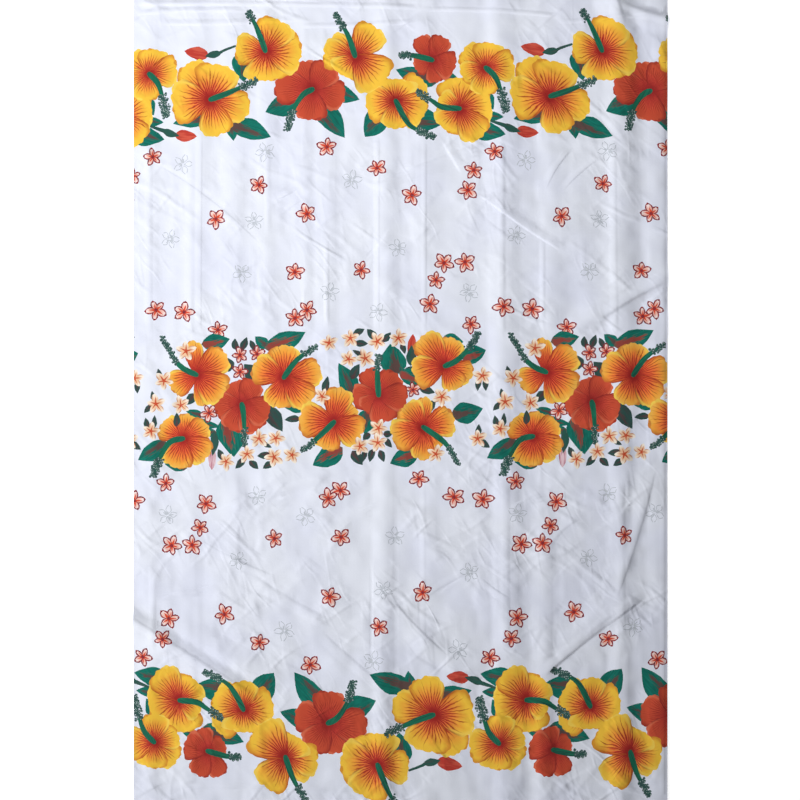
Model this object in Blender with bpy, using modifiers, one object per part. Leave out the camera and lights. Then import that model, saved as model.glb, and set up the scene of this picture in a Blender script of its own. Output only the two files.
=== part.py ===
"""A cut length of printed cloth, laid face up on a flat surface.

X runs along the bolt, Y from selvedge to selvedge and Z up. The origin is on the
surface, under the middle of the cloth. The cloth is one even wall. Between its
folds it rests flat at Z = 0, and each fold lifts the wall clear of the surface.
"""

from math import hypot
from typing import NamedTuple

import bpy

MM = 0.001

# The cloth as cut and laid
CUT_LENGTH = 0.990
CLOTH_WIDTH = 1.500
WALL = 0.0012

# The grid that carries the folds
COLUMNS = 60
ROWS = 40

# How far in from its end a fold takes to rise to its full height
FADE = 0.080

CLOTH_WHITE = (0.86, 0.87, 0.91, 1.0)
CLOTH_ROUGHNESS = 0.85


class Fold(NamedTuple):
    """One soft ridge, in millimetres from the cloth's middle, from its lower end up.

    left and right are the half widths of its two flanks as seen going up it, and
    bow is how far its middle swings to the left.
    """

    from_x: float
    from_y: float
    to_x: float
    to_y: float
    bow: float
    height: float
    left: float
    right: float


# The ridges that the bolt's folds left, which run from selvedge to selvedge.
# Those that start or end past 750 keep their height right to the edge.
BOLT_FOLDS = (
    Fold(-461, -850, -461, -10, 3, 2.1, 28, 24),
    Fold(-461, -90, -465, 850, 2, 1.9, 28, 24),
    Fold(-388, -620, -384, -90, 3, 1.6, 32, 24),
    Fold(-382, 10, -376, 850, -4, 2.1, 36, 26),
    Fold(-306, -560, -304, -110, 0, 1.2, 30, 30),
    Fold(-306, 20, -301, 850, 5, 2.1, 34, 28),
    Fold(-251, 60, -247, 850, -2, 1.6, 24, 24),
    Fold(-173, 90, -178, 640, 3, 1.3, 30, 24),
    Fold(-141, 30, -134, 620, -3, 2.3, 28, 22),
    Fold(-30, -850, -27, -20, 3, 3.7, 28, 26),
    Fold(-28, -90, -31, 850, -4, 3.8, 28, 28),
    Fold(58, -420, 50, -90, 2, 1.5, 26, 26),
    Fold(46, 40, 42, 850, 3, 1.9, 26, 30),
    Fold(190, -850, 191, -40, -3, 4.2, 28, 46),
    Fold(192, -130, 183, 850, 5, 5.2, 30, 46),
    Fold(267, -850, 270, -160, 2, 3.2, 26, 24),
    Fold(280, 80, 272, 610, -5, 2.6, 30, 38),
    Fold(412, -850, 409, -20, 3, 3.7, 28, 30),
    Fold(408, -90, 402, 850, -4, 5.7, 34, 40),
    Fold(478, -850, 481, -30, 0, 2.3, 28, 24),
    Fold(480, -100, 484, 850, 3, 3.2, 30, 24),
)

# The creases and low ridges that cross the cloth aslant
CROSS_FOLDS = (
    Fold(-260, -557, -584, -353, 0, 8.6, 40, 28),
    Fold(-215, -530, -450, -403, 0, 5.0, 30, 34),
    Fold(-76, -526, -166, -436, 4, 4.0, 30, 24),
    Fold(150, -512, -22, -382, 8, 4.4, 34, 26),
    Fold(282, -474, 462, -344, 6, 4.6, 30, 20),
    Fold(392, -374, 464, -120, -6, 3.2, 26, 18),
    Fold(296, 116, 560, 256, 8, 6.4, 38, 24),
    Fold(336, 84, 570, 158, 10, 5.0, 38, 44),
    Fold(428, 640, 364, 830, 0, 9.6, 40, 34),
    Fold(590, 690, 400, 730, 6, 7.0, 34, 20),
)


def clear_scene() -> None:
    """Removes every object that is in the scene."""
    for item in list(bpy.data.objects):
        bpy.data.objects.remove(item, do_unlink=True)


def rise_of(fold: Fold, x: float, y: float) -> float:
    """Gives one fold's height in metres at a point of the cloth's plan in metres."""
    run_x = (fold.to_x - fold.from_x) * MM
    run_y = (fold.to_y - fold.from_y) * MM
    length = hypot(run_x, run_y)
    off_x = x - fold.from_x * MM
    off_y = y - fold.from_y * MM
    along = (off_x * run_x + off_y * run_y) / length
    aside = (off_y * run_x - off_x * run_y) / length
    share = along / length
    aside -= fold.bow * MM * 4.0 * share * (1.0 - share)
    flank = (fold.left if aside > 0.0 else fold.right) * MM
    to_end = min(along, length - along)
    if to_end <= 0.0 or abs(aside) >= flank:
        return 0.0
    ramp = min(1.0, to_end / FADE)
    crown = (1.0 - (aside / flank) ** 2) ** 2
    return fold.height * MM * crown * ramp * ramp * (3.0 - 2.0 * ramp)


def relief(x: float, y: float) -> float:
    """Gives the cloth's height above the surface, where crossing folds merge softly."""
    return hypot(*(rise_of(fold, x, y) for fold in BOLT_FOLDS + CROSS_FOLDS))


def cloth_material() -> bpy.types.Material:
    """Makes the plain white of the cloth's ground."""
    material = bpy.data.materials.new("cloth_white")
    material.use_nodes = True
    shader = material.node_tree.nodes["Principled BSDF"]
    shader.inputs["Base Color"].default_value = CLOTH_WHITE
    shader.inputs["Roughness"].default_value = CLOTH_ROUGHNESS
    shader.inputs["Metallic"].default_value = 0.0
    return material


def cloth_panel(collection: bpy.types.Collection) -> bpy.types.Object:
    """Makes the cloth: a grid lifted along its folds, then given its wall upwards."""
    bpy.ops.mesh.primitive_grid_add(x_subdivisions=COLUMNS, y_subdivisions=ROWS, size=1.0)
    panel = bpy.context.active_object
    panel.name = "cloth_panel"
    panel.data.name = "cloth_panel"
    for vertex in panel.data.vertices:
        vertex.co.x *= CUT_LENGTH
        vertex.co.y *= CLOTH_WIDTH
        vertex.co.z = relief(vertex.co.x, vertex.co.y)
    panel.data.shade_smooth()
    panel.data.materials.append(cloth_material())

    wall = panel.modifiers.new("wall", "SOLIDIFY")
    wall.thickness = WALL
    wall.offset = 1.0
    wall.use_rim = True

    for holder in list(panel.users_collection):
        holder.objects.unlink(panel)
    collection.objects.link(panel)
    return panel


def main() -> None:
    """Builds the cloth in a collection named for it."""
    clear_scene()
    collection = bpy.data.collections.new("tropical_print_fabric")
    bpy.context.scene.collection.children.link(collection)
    cloth_panel(collection)


main()
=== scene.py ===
"""Printed cotton cloth, laid out flat with its soft folds, seen from straight above.

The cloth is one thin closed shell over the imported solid. Its top follows the folds,
and each printed motif is a patch of faces in its own ink. The motifs are drawn by
formulas for petals, leaves and stems, and short charts say where each one grows,
how far and which way. The rest of the cloth repeats them along the bolt, and turns
the upper half of the design round for the lower one.
"""

import logging
import math
import random
from dataclasses import dataclass, field, replace
from enum import Enum, IntEnum
from functools import partial, reduce
from typing import NamedTuple, Sequence, TypeVar

import bpy
import numpy as np
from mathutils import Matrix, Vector
from mathutils.geometry import delaunay_2d_cdt


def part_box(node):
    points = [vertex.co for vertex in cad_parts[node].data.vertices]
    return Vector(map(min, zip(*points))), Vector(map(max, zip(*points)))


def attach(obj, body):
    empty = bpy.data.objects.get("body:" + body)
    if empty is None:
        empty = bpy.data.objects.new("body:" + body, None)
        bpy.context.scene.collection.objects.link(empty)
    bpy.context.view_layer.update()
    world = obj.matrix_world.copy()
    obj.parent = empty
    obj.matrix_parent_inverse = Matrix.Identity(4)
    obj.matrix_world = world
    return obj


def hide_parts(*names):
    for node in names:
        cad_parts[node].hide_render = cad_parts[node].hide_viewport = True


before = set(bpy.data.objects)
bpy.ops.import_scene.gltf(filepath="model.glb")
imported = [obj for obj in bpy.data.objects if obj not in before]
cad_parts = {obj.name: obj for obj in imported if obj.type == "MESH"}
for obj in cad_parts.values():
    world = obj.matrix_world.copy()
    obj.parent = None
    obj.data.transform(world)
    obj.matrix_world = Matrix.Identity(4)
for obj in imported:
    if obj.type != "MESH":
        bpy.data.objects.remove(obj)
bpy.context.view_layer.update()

logging.basicConfig(level=logging.INFO, format="%(message)s")
LOG = logging.getLogger("cloth")

MM = 0.001
CLOTH_NODE = "cloth_panel"

# Turns in radians for the waves of the outlines, and the golden share, whose multiples
# spread numbers evenly
HALF_TURN = 3.1416
WHOLE_TURN = 6.28
GOLDEN = 0.618034

Point = tuple[float, float]
Span = tuple[float, float]
Colour = tuple[int, int, int]
Paint = tuple[float, float, float, float]
Stops = tuple[tuple[float, Colour], ...]
Socket = bpy.types.NodeSocket
Value = Socket | float | Sequence[float]
Row = TypeVar("Row")


class Ink(IntEnum):
    """What a patch of the cloth is printed with, which is also its material slot."""

    GROUND = 0
    GOLD = 1
    RED = 2
    STYLE = 3
    ANTHER = 4
    POLLEN = 5
    LEAF = 6
    LEAF_RED = 7
    LEAF_DARK = 8
    CALYX = 9
    BUD = 10
    SALMON = 11
    BRICK = 12
    CREAM = 13
    GHOST = 14
    BLUSH = 15
    AMBER = 16


class Turn(Enum):
    """Which copies a chart has: as it is drawn, or also turned round."""

    AS_DRAWN = "as drawn"
    BORDER = "border"
    FIELD = "field"


class Fold(NamedTuple):
    """One soft ridge, in millimetres from the cloth's middle, from its lower end up.

    left and right are the half widths of its two flanks as seen going up it, and
    bow is how far its middle swings to the left.
    """

    from_x: float
    from_y: float
    to_x: float
    to_y: float
    bow: float
    height: float
    left: float
    right: float


class Petal(NamedTuple):
    """One petal: which way it points, in degrees, then its length and half width."""

    angle: float
    length: float
    half_width: float


class Hibiscus(NamedTuple):
    """One open flower: its throat's place, its petals from back to front, and its style.

    style lists the points that the style runs through from the throat, and the last
    club_length of it carries anthers, club_width across.
    """

    ink: Ink
    x: float
    y: float
    petals: tuple[Petal, ...]
    style: tuple[Point, ...]
    club_length: float
    club_width: float


class Leaf(NamedTuple):
    """One leaf, from its base to its tip, and its half width."""

    ink: Ink
    x: float
    y: float
    tip_x: float
    tip_y: float
    half_width: float


class Stem(NamedTuple):
    """One stem: the points that it runs through, and its widths at its two ends."""

    points: tuple[Point, ...]
    width: float
    end_width: float


class Blossom(NamedTuple):
    """One small five-petalled flower: its place, its size across and its turn."""

    x: float
    y: float
    across: float
    turn: float


def rows(kind: type[Row], *values: Sequence[float]) -> tuple[Row, ...]:
    """Makes the rows of a chart, whose columns are the fields of their kind."""
    return tuple(kind(*value) for value in values)


def petals(*values: Sequence[float]) -> tuple[Petal, ...]:
    """Makes a flower's petals from rows of angle, length and half width."""
    return rows(Petal, *values)


# How far in from its end a fold takes to rise to its full height
FADE = 0.080
CREASE_FADE = 0.030

# The ridges that the bolt's folds left, which run from selvedge to selvedge
BOLT_FOLDS = rows(
    Fold,
    (-461, -850, -461, -10, 3, 2.1, 28, 24), (-461, -90, -465, 850, 2, 1.9, 28, 24),
    (-388, -620, -384, -90, 3, 1.6, 32, 24), (-382, 10, -376, 850, -4, 2.1, 36, 26),
    (-306, -560, -304, -110, 0, 1.2, 30, 30), (-306, 20, -301, 850, 5, 2.1, 34, 28),
    (-251, 60, -247, 850, -2, 1.6, 24, 24), (-173, 90, -178, 640, 3, 1.3, 30, 24),
    (-141, 30, -134, 620, -3, 2.3, 28, 22), (-30, -850, -27, -20, 3, 3.7, 28, 26),
    (-28, -90, -31, 850, -4, 3.8, 28, 28), (58, -420, 50, -90, 2, 1.5, 26, 26),
    (46, 40, 42, 850, 3, 1.9, 26, 30), (190, -850, 191, -40, -3, 4.2, 28, 46),
    (192, -130, 183, 850, 5, 5.2, 30, 46), (267, -850, 270, -160, 2, 3.2, 26, 24),
    (280, 80, 272, 610, -5, 2.6, 30, 38), (412, -850, 409, -20, 3, 3.7, 28, 30),
    (408, -90, 402, 850, -4, 5.7, 34, 40), (478, -850, 481, -30, 0, 2.3, 28, 24),
    (480, -100, 484, 850, 3, 3.2, 30, 24),
)

# The creases and low ridges that cross the cloth aslant
CROSS_FOLDS = rows(
    Fold,
    (-260, -557, -584, -353, 0, 8.6, 40, 28), (-215, -530, -450, -403, 0, 5.0, 30, 34),
    (-76, -526, -166, -436, 4, 4.0, 30, 24), (150, -512, -22, -382, 8, 4.4, 34, 26),
    (282, -474, 462, -344, 6, 4.6, 30, 20), (392, -374, 464, -120, -6, 3.2, 26, 18),
    (296, 116, 560, 256, 8, 6.4, 38, 24), (336, 84, 570, 158, 10, 5.0, 38, 44),
    (428, 640, 364, 830, 0, 9.6, 40, 34), (590, 690, 400, 730, 6, 7.0, 34, 20),
)

# The fine creases, which only the cloth's surface takes. A trough has a negative height.
FINE_CREASES = rows(
    Fold,
    (-257, 288, -446, 436, -9, -0.7, 4, 12), (118, 417, 77, 486, 0, 2.2, 7, 16),
    (300, 278, 142, 386, 3, 2.1, 5, 18), (-53, 390, 159, 473, 4, 3.0, 10, 22),
    (300, 390, 370, 451, 3, 1.5, 12, 4), (268, 390, 324, 473, 6, 1.2, 12, 4),
    (-6, 362, -29, 399, -3, -0.8, 4, 10), (-242, 371, -186, 399, -4, 1.6, 12, 4),
    (-65, 256, -16, 322, -4, 1.6, 8, 18), (370, 152, 500, 226, 4, 2.6, 18, 8),
    (93, -473, -14, -366, 4, -1.5, 6, 16), (-130, -414, -278, -328, 3, 1.7, 18, 9),
    (-446, -367, -325, -343, 2, 1.0, 4, 12), (212, -195, 268, -176, 0, 0.7, 4, 12),
    (396, -371, 472, -120, -6, 0.9, 16, 6), (264, -510, 455, -362, 4, 3.2, 18, 8),
    (-262, -556, -582, -354, 0, 2.0, 14, 8), (408, -362, 302, -268, 2, 0.6, 14, 6),
    (206, -372, 144, -328, 3, 1.5, 12, 5), (32, -376, 128, -318, 4, 0.8, 12, 5),
    (64, -367, 120, -330, 2, 0.5, 4, 10), (-84, -208, -38, -191, 0, 0.8, 4, 10),
    (370, -200, 429, -182, -2, 0.5, 4, 12), (-242, -204, -205, -186, -2, 0.7, 4, 10),
    (-230, -330, -372, -262, 5, 1.2, 12, 6), (-20, -540, -150, -430, 4, 1.6, 16, 8),
    (-372, -223, -122, -139, 6, 1.2, 10, 14), (488, -760, 489, 760, 0, 0.5, 10, 4),
    (-372, 120, -370, 500, 0, 0.6, 12, 4), (45, 120, 45, 490, 0, 0.8, 9, 5),
    (-42, 120, -42, 500, 0, 0.8, 10, 5), (-246, 300, -247, 490, 0, 0.8, 8, 8),
    (-136, 130, -137, 310, 0, 0.8, 8, 6), (188, 110, 188, 490, 0, 1.2, 12, 9),
    (264, 130, 264, 310, 0, 0.8, 8, 6), (398, 110, 394, 490, 0, 1.0, 12, 8),
    (-466, 120, -466, 490, 0, 0.9, 12, 8), (-390, 120, -390, 490, 0, 0.7, 14, 10),
    (-177, 130, -177, 490, 0, 0.5, 14, 14), (-54, -490, -54, -300, 0, -0.6, 5, 5),
    (-459, -470, -459, -300, 0, 0.9, 10, 8), (196, -480, 196, -140, 0, 0.9, 14, 9),
    (410, -480, 410, -140, 0, 1.0, 14, 9), (43, -480, 43, -140, 0, 0.4, 9, 6),
    (-500, 735, 40, 728, 3, 1.7, 8, 6), (-494, 716, -279, 722, 3, 1.8, 9, 5),
    (-446, 699, -186, 707, -4, 1.7, 10, 5), (-372, 745, -130, 740, 3, 1.4, 7, 5),
    (-186, 694, 36, 703, -3, 1.6, 8, 5), (36, 724, 296, 712, 4, 1.5, 7, 5),
    (296, 701, 481, 720, -3, 1.6, 8, 5), (-430, -716, -80, -724, 2, 0.9, 8, 6),
    (351, -705, 481, -742, 3, 0.9, 9, 7), (528, 700, 390, 744, 6, 3.0, 14, 9),
    (414, 692, 382, 790, 0, 2.6, 20, 9),
)

# The charts below hold places noted in the photo's pixels, x to the right and y down.
# Lengths and widths there are in pixels too. Lay.pixel gives a pixel's real size.

BORDER_FLOWERS = (
    Hibiscus(Ink.RED, 312.6, 89.3,
             petals((115, 30, 12), (-15, 33, 14), (55, 30, 14), (175, 38, 16), (-95, 31, 15)),
             ((303.6, 94.4), (294.7, 107), (286.4, 130.7)), 22, 9),
    Hibiscus(Ink.GOLD, 265.4, 51,
             petals((175, 30, 14), (-85, 30, 20), (-5, 36, 18), (65, 34, 17)),
             ((260, 36), (255, 24), (247.5, 10.8)), 12, 9),
    Hibiscus(Ink.RED, 432.2, 60,
             petals((120, 27, 9), (65, 26, 10), (-155, 19, 9), (-80, 23, 8), (-18, 24, 13)),
             ((413, 55.5), (398.4, 55.5)), 13, 8),
    Hibiscus(Ink.GOLD, 395.9, 100.8,
             petals((150, 28, 13), (35, 34, 13), (87, 22, 18), (185, 30, 17), (-25, 32, 16),
                    (-92, 28, 12)),
             ((404, 117), (413, 127.6), (434.8, 137.8)), 20, 8),
    Hibiscus(Ink.GOLD, 355, 56,
             petals((155, 30, 13), (175, 32, 14), (-120, 23, 16), (54, 36, 15), (-45, 39, 19)),
             ((350.6, 42), (345.5, 30.6), (334.6, 13.4)), 18, 8),
    Hibiscus(Ink.GOLD, 459.6, 108.4,
             petals((100, 31, 17), (160, 23, 12), (-130, 26, 14), (7, 32, 18), (-55, 36, 14)),
             ((442.4, 107), (432, 100.8), (416.3, 91.2)), 16, 9),
    Hibiscus(Ink.GOLD, 485.8, 67.6,
             petals((140, 29, 12), (80, 25, 14), (195, 26, 10), (5, 29, 14), (-95, 27, 12)),
             ((494.7, 76.5), (499.8, 88), (506.8, 112.2)), 24, 11),
    Hibiscus(Ink.GOLD, 210.5, 99.5,
             petals((125, 43, 14), (75, 36, 19), (185, 39, 19), (-15, 40, 14), (-78, 37, 14)),
             ((226, 94), (240, 88), (257.7, 80.4)), 19, 9),
)

# The leaves' inks: all teal, teal with a red heart, and dark
TEAL, HEART, DARK = Ink.LEAF, Ink.LEAF_RED, Ink.LEAF_DARK

BORDER_LEAVES = rows(
    Leaf,
    (TEAL, 336.5, 89, 359.5, 99.5, 7), (TEAL, 321, 112, 344.8, 137.8, 9),
    (TEAL, 381, 117, 365, 137, 10), (TEAL, 418, 121, 444.3, 123, 8.5),
    (TEAL, 428.4, 79, 395.9, 69.5, 8.5), (TEAL, 443, 74, 459, 79.7, 3.5),
    (TEAL, 484.5, 95.7, 493.4, 109.7, 6), (TEAL, 487.7, 114.8, 503.6, 117.3, 4),
    (TEAL, 478, 126.3, 505.6, 134.6, 8), (TEAL, 243.7, 58, 243.7, 82, 9),
    (TEAL, 293.4, 97, 265.4, 112.2, 10), (TEAL, 201.6, 120, 172.9, 123.7, 6.5),
    (TEAL, 232.2, 120, 233.5, 141, 6), (TEAL, 239.8, 126.3, 271, 137, 8.5),
)

BUD_STEMS = (
    Stem(((236, 46), (223, 51), (215.6, 56)), 2.0, 3.4),
    Stem(((148, 125.6), (157, 128.6), (166, 131.4)), 1.8, 4.6),
)
CALYXES = (
    Leaf(Ink.CALYX, 221.5, 53, 205, 56.5, 3.7),
    Leaf(Ink.CALYX, 162, 130, 179.5, 136, 3.7),
)
BUDS = (
    Leaf(Ink.BUD, 209, 55.5, 184.4, 51, 6.4),
    Leaf(Ink.BUD, 174.5, 135.2, 197, 136.5, 5.8),
)

CLUSTER_LEAVES = rows(
    Leaf,
    (HEART, 204, 344, 230, 339, 7), (DARK, 236, 349, 235, 338.5, 3),
    (DARK, 242, 349, 247, 337, 3), (DARK, 254, 349, 250, 340, 2.5),
    (TEAL, 266.6, 347, 255, 336.6, 5), (HEART, 268, 347, 305.6, 332, 8.5),
    (DARK, 232, 368.5, 225, 357, 4), (DARK, 231.6, 367, 222, 369, 3),
    (DARK, 262, 383, 244, 364, 8), (DARK, 264, 376, 246, 380, 6),
    (DARK, 160, 380, 158, 368.5, 2.5), (DARK, 154, 400, 152, 391, 2.3),
    (DARK, 152, 405.5, 144, 413, 2.5), (DARK, 195, 395, 186, 405, 4),
    (TEAL, 201.6, 416, 185.7, 411, 3.5), (DARK, 148, 428, 145.7, 417.6, 2.5),
    (DARK, 153, 428, 154.7, 415, 2.3), (TEAL, 165, 444, 138, 460, 8),
    (TEAL, 192.7, 421, 220.7, 427, 4), (TEAL, 215.6, 433, 201, 433, 3.5),
    (HEART, 228.4, 418, 234, 457, 12), (DARK, 264, 408, 282.6, 431.6, 7),
    (TEAL, 304, 408, 278, 401.6, 7), (DARK, 299, 419, 284.5, 420, 3),
    (TEAL, 185, 468, 164.6, 464, 5), (DARK, 222, 459, 218, 449, 2.8),
    (DARK, 243.7, 459, 235.4, 468.6, 3), (DARK, 250, 461.6, 258.4, 469, 3),
    (DARK, 269, 454, 257, 456, 3), (DARK, 272.4, 463.5, 262.8, 468.6, 3),
    (DARK, 263.5, 442.4, 271.8, 447.6, 2), (DARK, 325.3, 394, 327.9, 376, 3.3),
    (DARK, 354, 335, 364.6, 329, 3), (DARK, 375.5, 338.5, 367, 329, 3.5),
    (DARK, 382.5, 341, 391, 332.5, 3), (DARK, 356, 343, 368, 343.6, 3),
    (DARK, 401.6, 344, 405, 354, 2.5), (DARK, 362, 355.7, 352.5, 350, 2),
    (TEAL, 395, 373, 390, 344, 11), (TEAL, 353, 397, 338.5, 363, 8),
    (DARK, 352, 378, 359.5, 364, 4), (DARK, 405, 372, 419, 368, 3.5),
    (HEART, 401.6, 373.6, 431.6, 384, 7), (DARK, 420.7, 387.6, 435, 392.7, 3.5),
    (TEAL, 443.7, 339, 463.5, 342, 6), (HEART, 464, 358, 486, 350, 8),
    (DARK, 449, 377, 448, 392, 3.5), (DARK, 479, 379, 477.5, 391, 2.5),
    (DARK, 486, 379, 486, 391, 2.6), (DARK, 426.5, 411, 436, 400, 4),
    (TEAL, 454, 414, 483, 408.6, 9), (DARK, 478, 435, 479, 424, 2.6),
    (DARK, 481, 440.5, 490, 447.6, 3), (HEART, 415.6, 455, 390, 463.5, 8),
    (DARK, 384, 434, 393, 433, 3), (DARK, 386, 439, 392, 447.6, 2.6),
    (TEAL, 369.7, 411, 364.6, 434, 9), (DARK, 369.7, 434, 363, 440, 3),
    (DARK, 373.5, 450, 369.7, 462, 3), (DARK, 380, 451, 384, 462, 3),
    (DARK, 353, 452, 362.7, 465, 4.5), (DARK, 366, 451, 363, 462, 2.5),
    (HEART, 340, 449, 312.6, 465.4, 9),
)
CLUSTER_TOP_LEAVES = (
    Leaf(Ink.LEAF_DARK, 176, 427, 176.7, 412.5, 3.5),
)
CLUSTER_CALYXES = (
    Leaf(Ink.CALYX, 213.7, 431, 212.4, 456, 4.2),
    Leaf(Ink.CALYX, 410.5, 366, 411.5, 345, 5),
)
CLUSTER_BUDS = (
    Leaf(Ink.BLUSH, 212.6, 450, 211.8, 470, 4),
    Leaf(Ink.BUD, 411, 357, 413, 334, 4.6),
)

CLUSTER_FLOWERS = (
    Hibiscus(Ink.RED, 241.8, 404.2,
             petals((105, 24, 13), (185, 27, 13), (-110, 28, 13), (60, 27, 11), (-61, 31, 13),
                    (-20, 29, 14)),
             ((243.7, 417), (245, 446.3)), 18, 8),
    Hibiscus(Ink.AMBER, 283.9, 377.4,
             petals((90, 32, 15), (160, 33, 15), (10, 38, 14), (-105, 31, 14), (-45, 37, 14)),
             ((297.3, 359.5), (317.7, 345.5)), 17, 7),
    Hibiscus(Ink.AMBER, 196.5, 374.8,
             petals((97, 34, 9), (-80, 32, 6), (205, 29, 13), (35, 36, 14), (-37, 34, 17)),
             ((178.6, 364.6), (161.4, 336)), 32, 6.5),
    Hibiscus(Ink.AMBER, 183, 438.6,
             petals((145, 26, 13), (78, 25, 10), (27, 28, 12), (-35, 31, 14), (-105, 30, 15)),
             ((169.7, 442.4), (159.5, 459), (153, 477)), 20, 10),
    Hibiscus(Ink.RED, 378.6, 395.3,
             petals((115, 29, 10), (50, 28, 12), (185, 26, 12), (-135, 21, 10), (-75, 28, 13),
                    (-5, 29, 13)),
             ((377.4, 373.6), (378.6, 354.4)), 16, 8),
    Hibiscus(Ink.AMBER, 334, 422,
             petals((30, 26, 10), (80, 35, 14), (-110, 29, 13), (-25, 31, 16), (175, 35, 17)),
             ((325, 431), (312.6, 442.4), (301.7, 451.4)), 17, 7),
    Hibiscus(Ink.AMBER, 423.3, 427.1,
             petals((88, 30, 8), (130, 29, 14), (-60, 27, 11), (15, 32, 15), (-92, 33, 11),
                    (200, 33, 16)),
             ((439.9, 438.6), (448.8, 447.6), (459, 465.4)), 22, 6),
    Hibiscus(Ink.AMBER, 445, 366,
             petals((75, 29, 13), (128, 38, 15), (-20, 29, 12), (-60, 26, 12), (195, 33, 16)),
             ((456.4, 360.8), (467.9, 349.3), (479.4, 332.1)), 21, 8.5),
)

FIELD_BLOSSOMS = rows(
    Blossom,
    (153, 157, 17, 20), (259, 185, 17, 65), (327, 147, 19, 10), (216, 219, 18, 50),
    (307, 214, 19, 30), (295, 272, 17, 80), (156, 310, 19, 40), (184, 312, 19, 70),
    (218, 330, 17, 90), (295, 318, 19, 15), (307, 310, 19, 55), (377, 168, 17, 35),
    (412, 195, 19, 0), (361, 270, 17, 60), (444, 263, 19, 45), (465, 262, 19, 25),
    (436, 280, 17, 75), (430, 304, 19, 5), (471, 324, 17, 50), (474, 170, 17, 85),
    (468, 190, 19, 30),
)

CLUSTER_BLOSSOMS = rows(
    Blossom,
    (186, 351, 16, 10), (164, 381, 15, 50), (156, 404, 15, 90), (181, 405.5, 15, 25),
    (151, 431, 14, 70), (226, 461.6, 15, 45), (259, 438.6, 15, 15), (276, 438, 15, 60),
    (247, 454, 15, 90), (274, 457, 16, 35), (292, 455, 15, 75), (329, 343, 14, 20),
    (322, 396.5, 14, 55), (350.6, 338, 15, 85), (377.4, 341.7, 15, 40), (398.4, 338, 15, 10),
    (348.7, 359, 15, 65), (365.3, 358.3, 16, 30), (441.8, 396.5, 15, 50), (482.6, 375.5, 15, 80),
    (477.5, 438.6, 15, 15), (378.6, 428.4, 15, 60), (378, 442.4, 16, 90), (360, 446.3, 15, 35),
    (436, 454, 14, 70),
)
OUTLINED_BLOSSOMS = rows(
    Blossom,
    (209, 413, 17, 40), (240, 372, 15, 70), (413, 390, 15, 20), (240, 355, 15, 30),
    (257, 354, 15, 80),
)

GHOSTS = rows(
    Blossom,
    (183, 164, 19, 0), (265, 152, 19, 40), (170, 239, 18, 70), (254, 221, 18, 20),
    (242, 273, 18, 55), (330, 292, 19, 10), (352, 180, 19, 80), (398, 248, 18, 30),
    (378, 312, 18, 65), (469, 292, 19, 45),
)


def arch(size: float | np.ndarray, share: float | np.ndarray) -> float | np.ndarray:
    """Gives the height of a low arch of that size, so far along from its one end."""
    return size * 4.0 * share * (1.0 - share)


@dataclass(frozen=True)
class Lay:
    """How the print's even plane lies on the cloth, and where the photo's pixels fall.

    The cloth pulls in a little toward its corners, so the repeats there are shorter.
    """

    pixel: float = 1.855 * MM
    middle: Point = (400.5, 400.0)
    reach: float = 0.742
    pull_in: float = 0.0309
    lean: float = 0.0131
    repeat: Point = (0.6535, 0.0047)
    border_turn: Point = (-0.1522, -0.0055)
    field_turn: Point = (-0.154, -0.0073)
    rounds: int = 8

    def from_photo(self, places: np.ndarray) -> np.ndarray:
        """Gives the plan of the cloth for places in the photo's pixels."""
        return (places - self.middle) * (self.pixel, -self.pixel)

    def to_photo(self, plan: np.ndarray) -> np.ndarray:
        """Gives the photo's pixels for places in the cloth's plan."""
        return plan / (self.pixel, -self.pixel) + self.middle

    def shrink(self, even: np.ndarray) -> np.ndarray:
        """Gives how much the cloth is pulled in at places of the print's even plane."""
        spread = (even ** 2).sum(axis=1) / self.reach ** 2
        return (1.0 - self.pull_in * spread - self.lean * even[:, 1] / self.reach)[:, None]

    def to_cloth(self, even: np.ndarray) -> np.ndarray:
        """Lays places of the print's even plane on the cloth."""
        return even * self.shrink(even)

    def to_even(self, plan: np.ndarray) -> np.ndarray:
        """Finds the places of the print's even plane that lie at places of the plan.

        Args:
            plan: The places on the cloth.

        Returns:
            The places in the even plane, closer with each round.
        """
        even = plan
        for _ in range(self.rounds):
            even = plan / self.shrink(even)
        return even


@dataclass(frozen=True)
class Copy:
    """One copy of a chart: how many repeats along, and round which point it is turned."""

    steps: int
    about: Point | None
    lay: Lay

    def turned(self, even: np.ndarray) -> np.ndarray:
        """Turns places half round this copy's point, where it has one."""
        return even if self.about is None else 2.0 * np.array(self.about) - even

    def place(self, even: np.ndarray) -> np.ndarray:
        """Moves places of the chart to this copy, in the print's even plane."""
        return self.turned(even) + self.steps * np.array(self.lay.repeat)

    def unplace(self, even: np.ndarray) -> np.ndarray:
        """Moves places of this copy back to the chart, in the print's even plane."""
        return self.turned(even - self.steps * np.array(self.lay.repeat))


# How fast a petal opens from its throat, how blunt its rim is, and how far its curve
# would reach to the side with those two values alone
OPENING = 0.62
BLUNTNESS = 4.5
FULLEST = 0.717


def petal_reach(along: np.ndarray) -> np.ndarray:
    """Gives a petal's half width, as a share of its fullest, so far along it."""
    return along ** OPENING * np.sqrt(1.0 - along ** BLUNTNESS) / FULLEST


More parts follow.
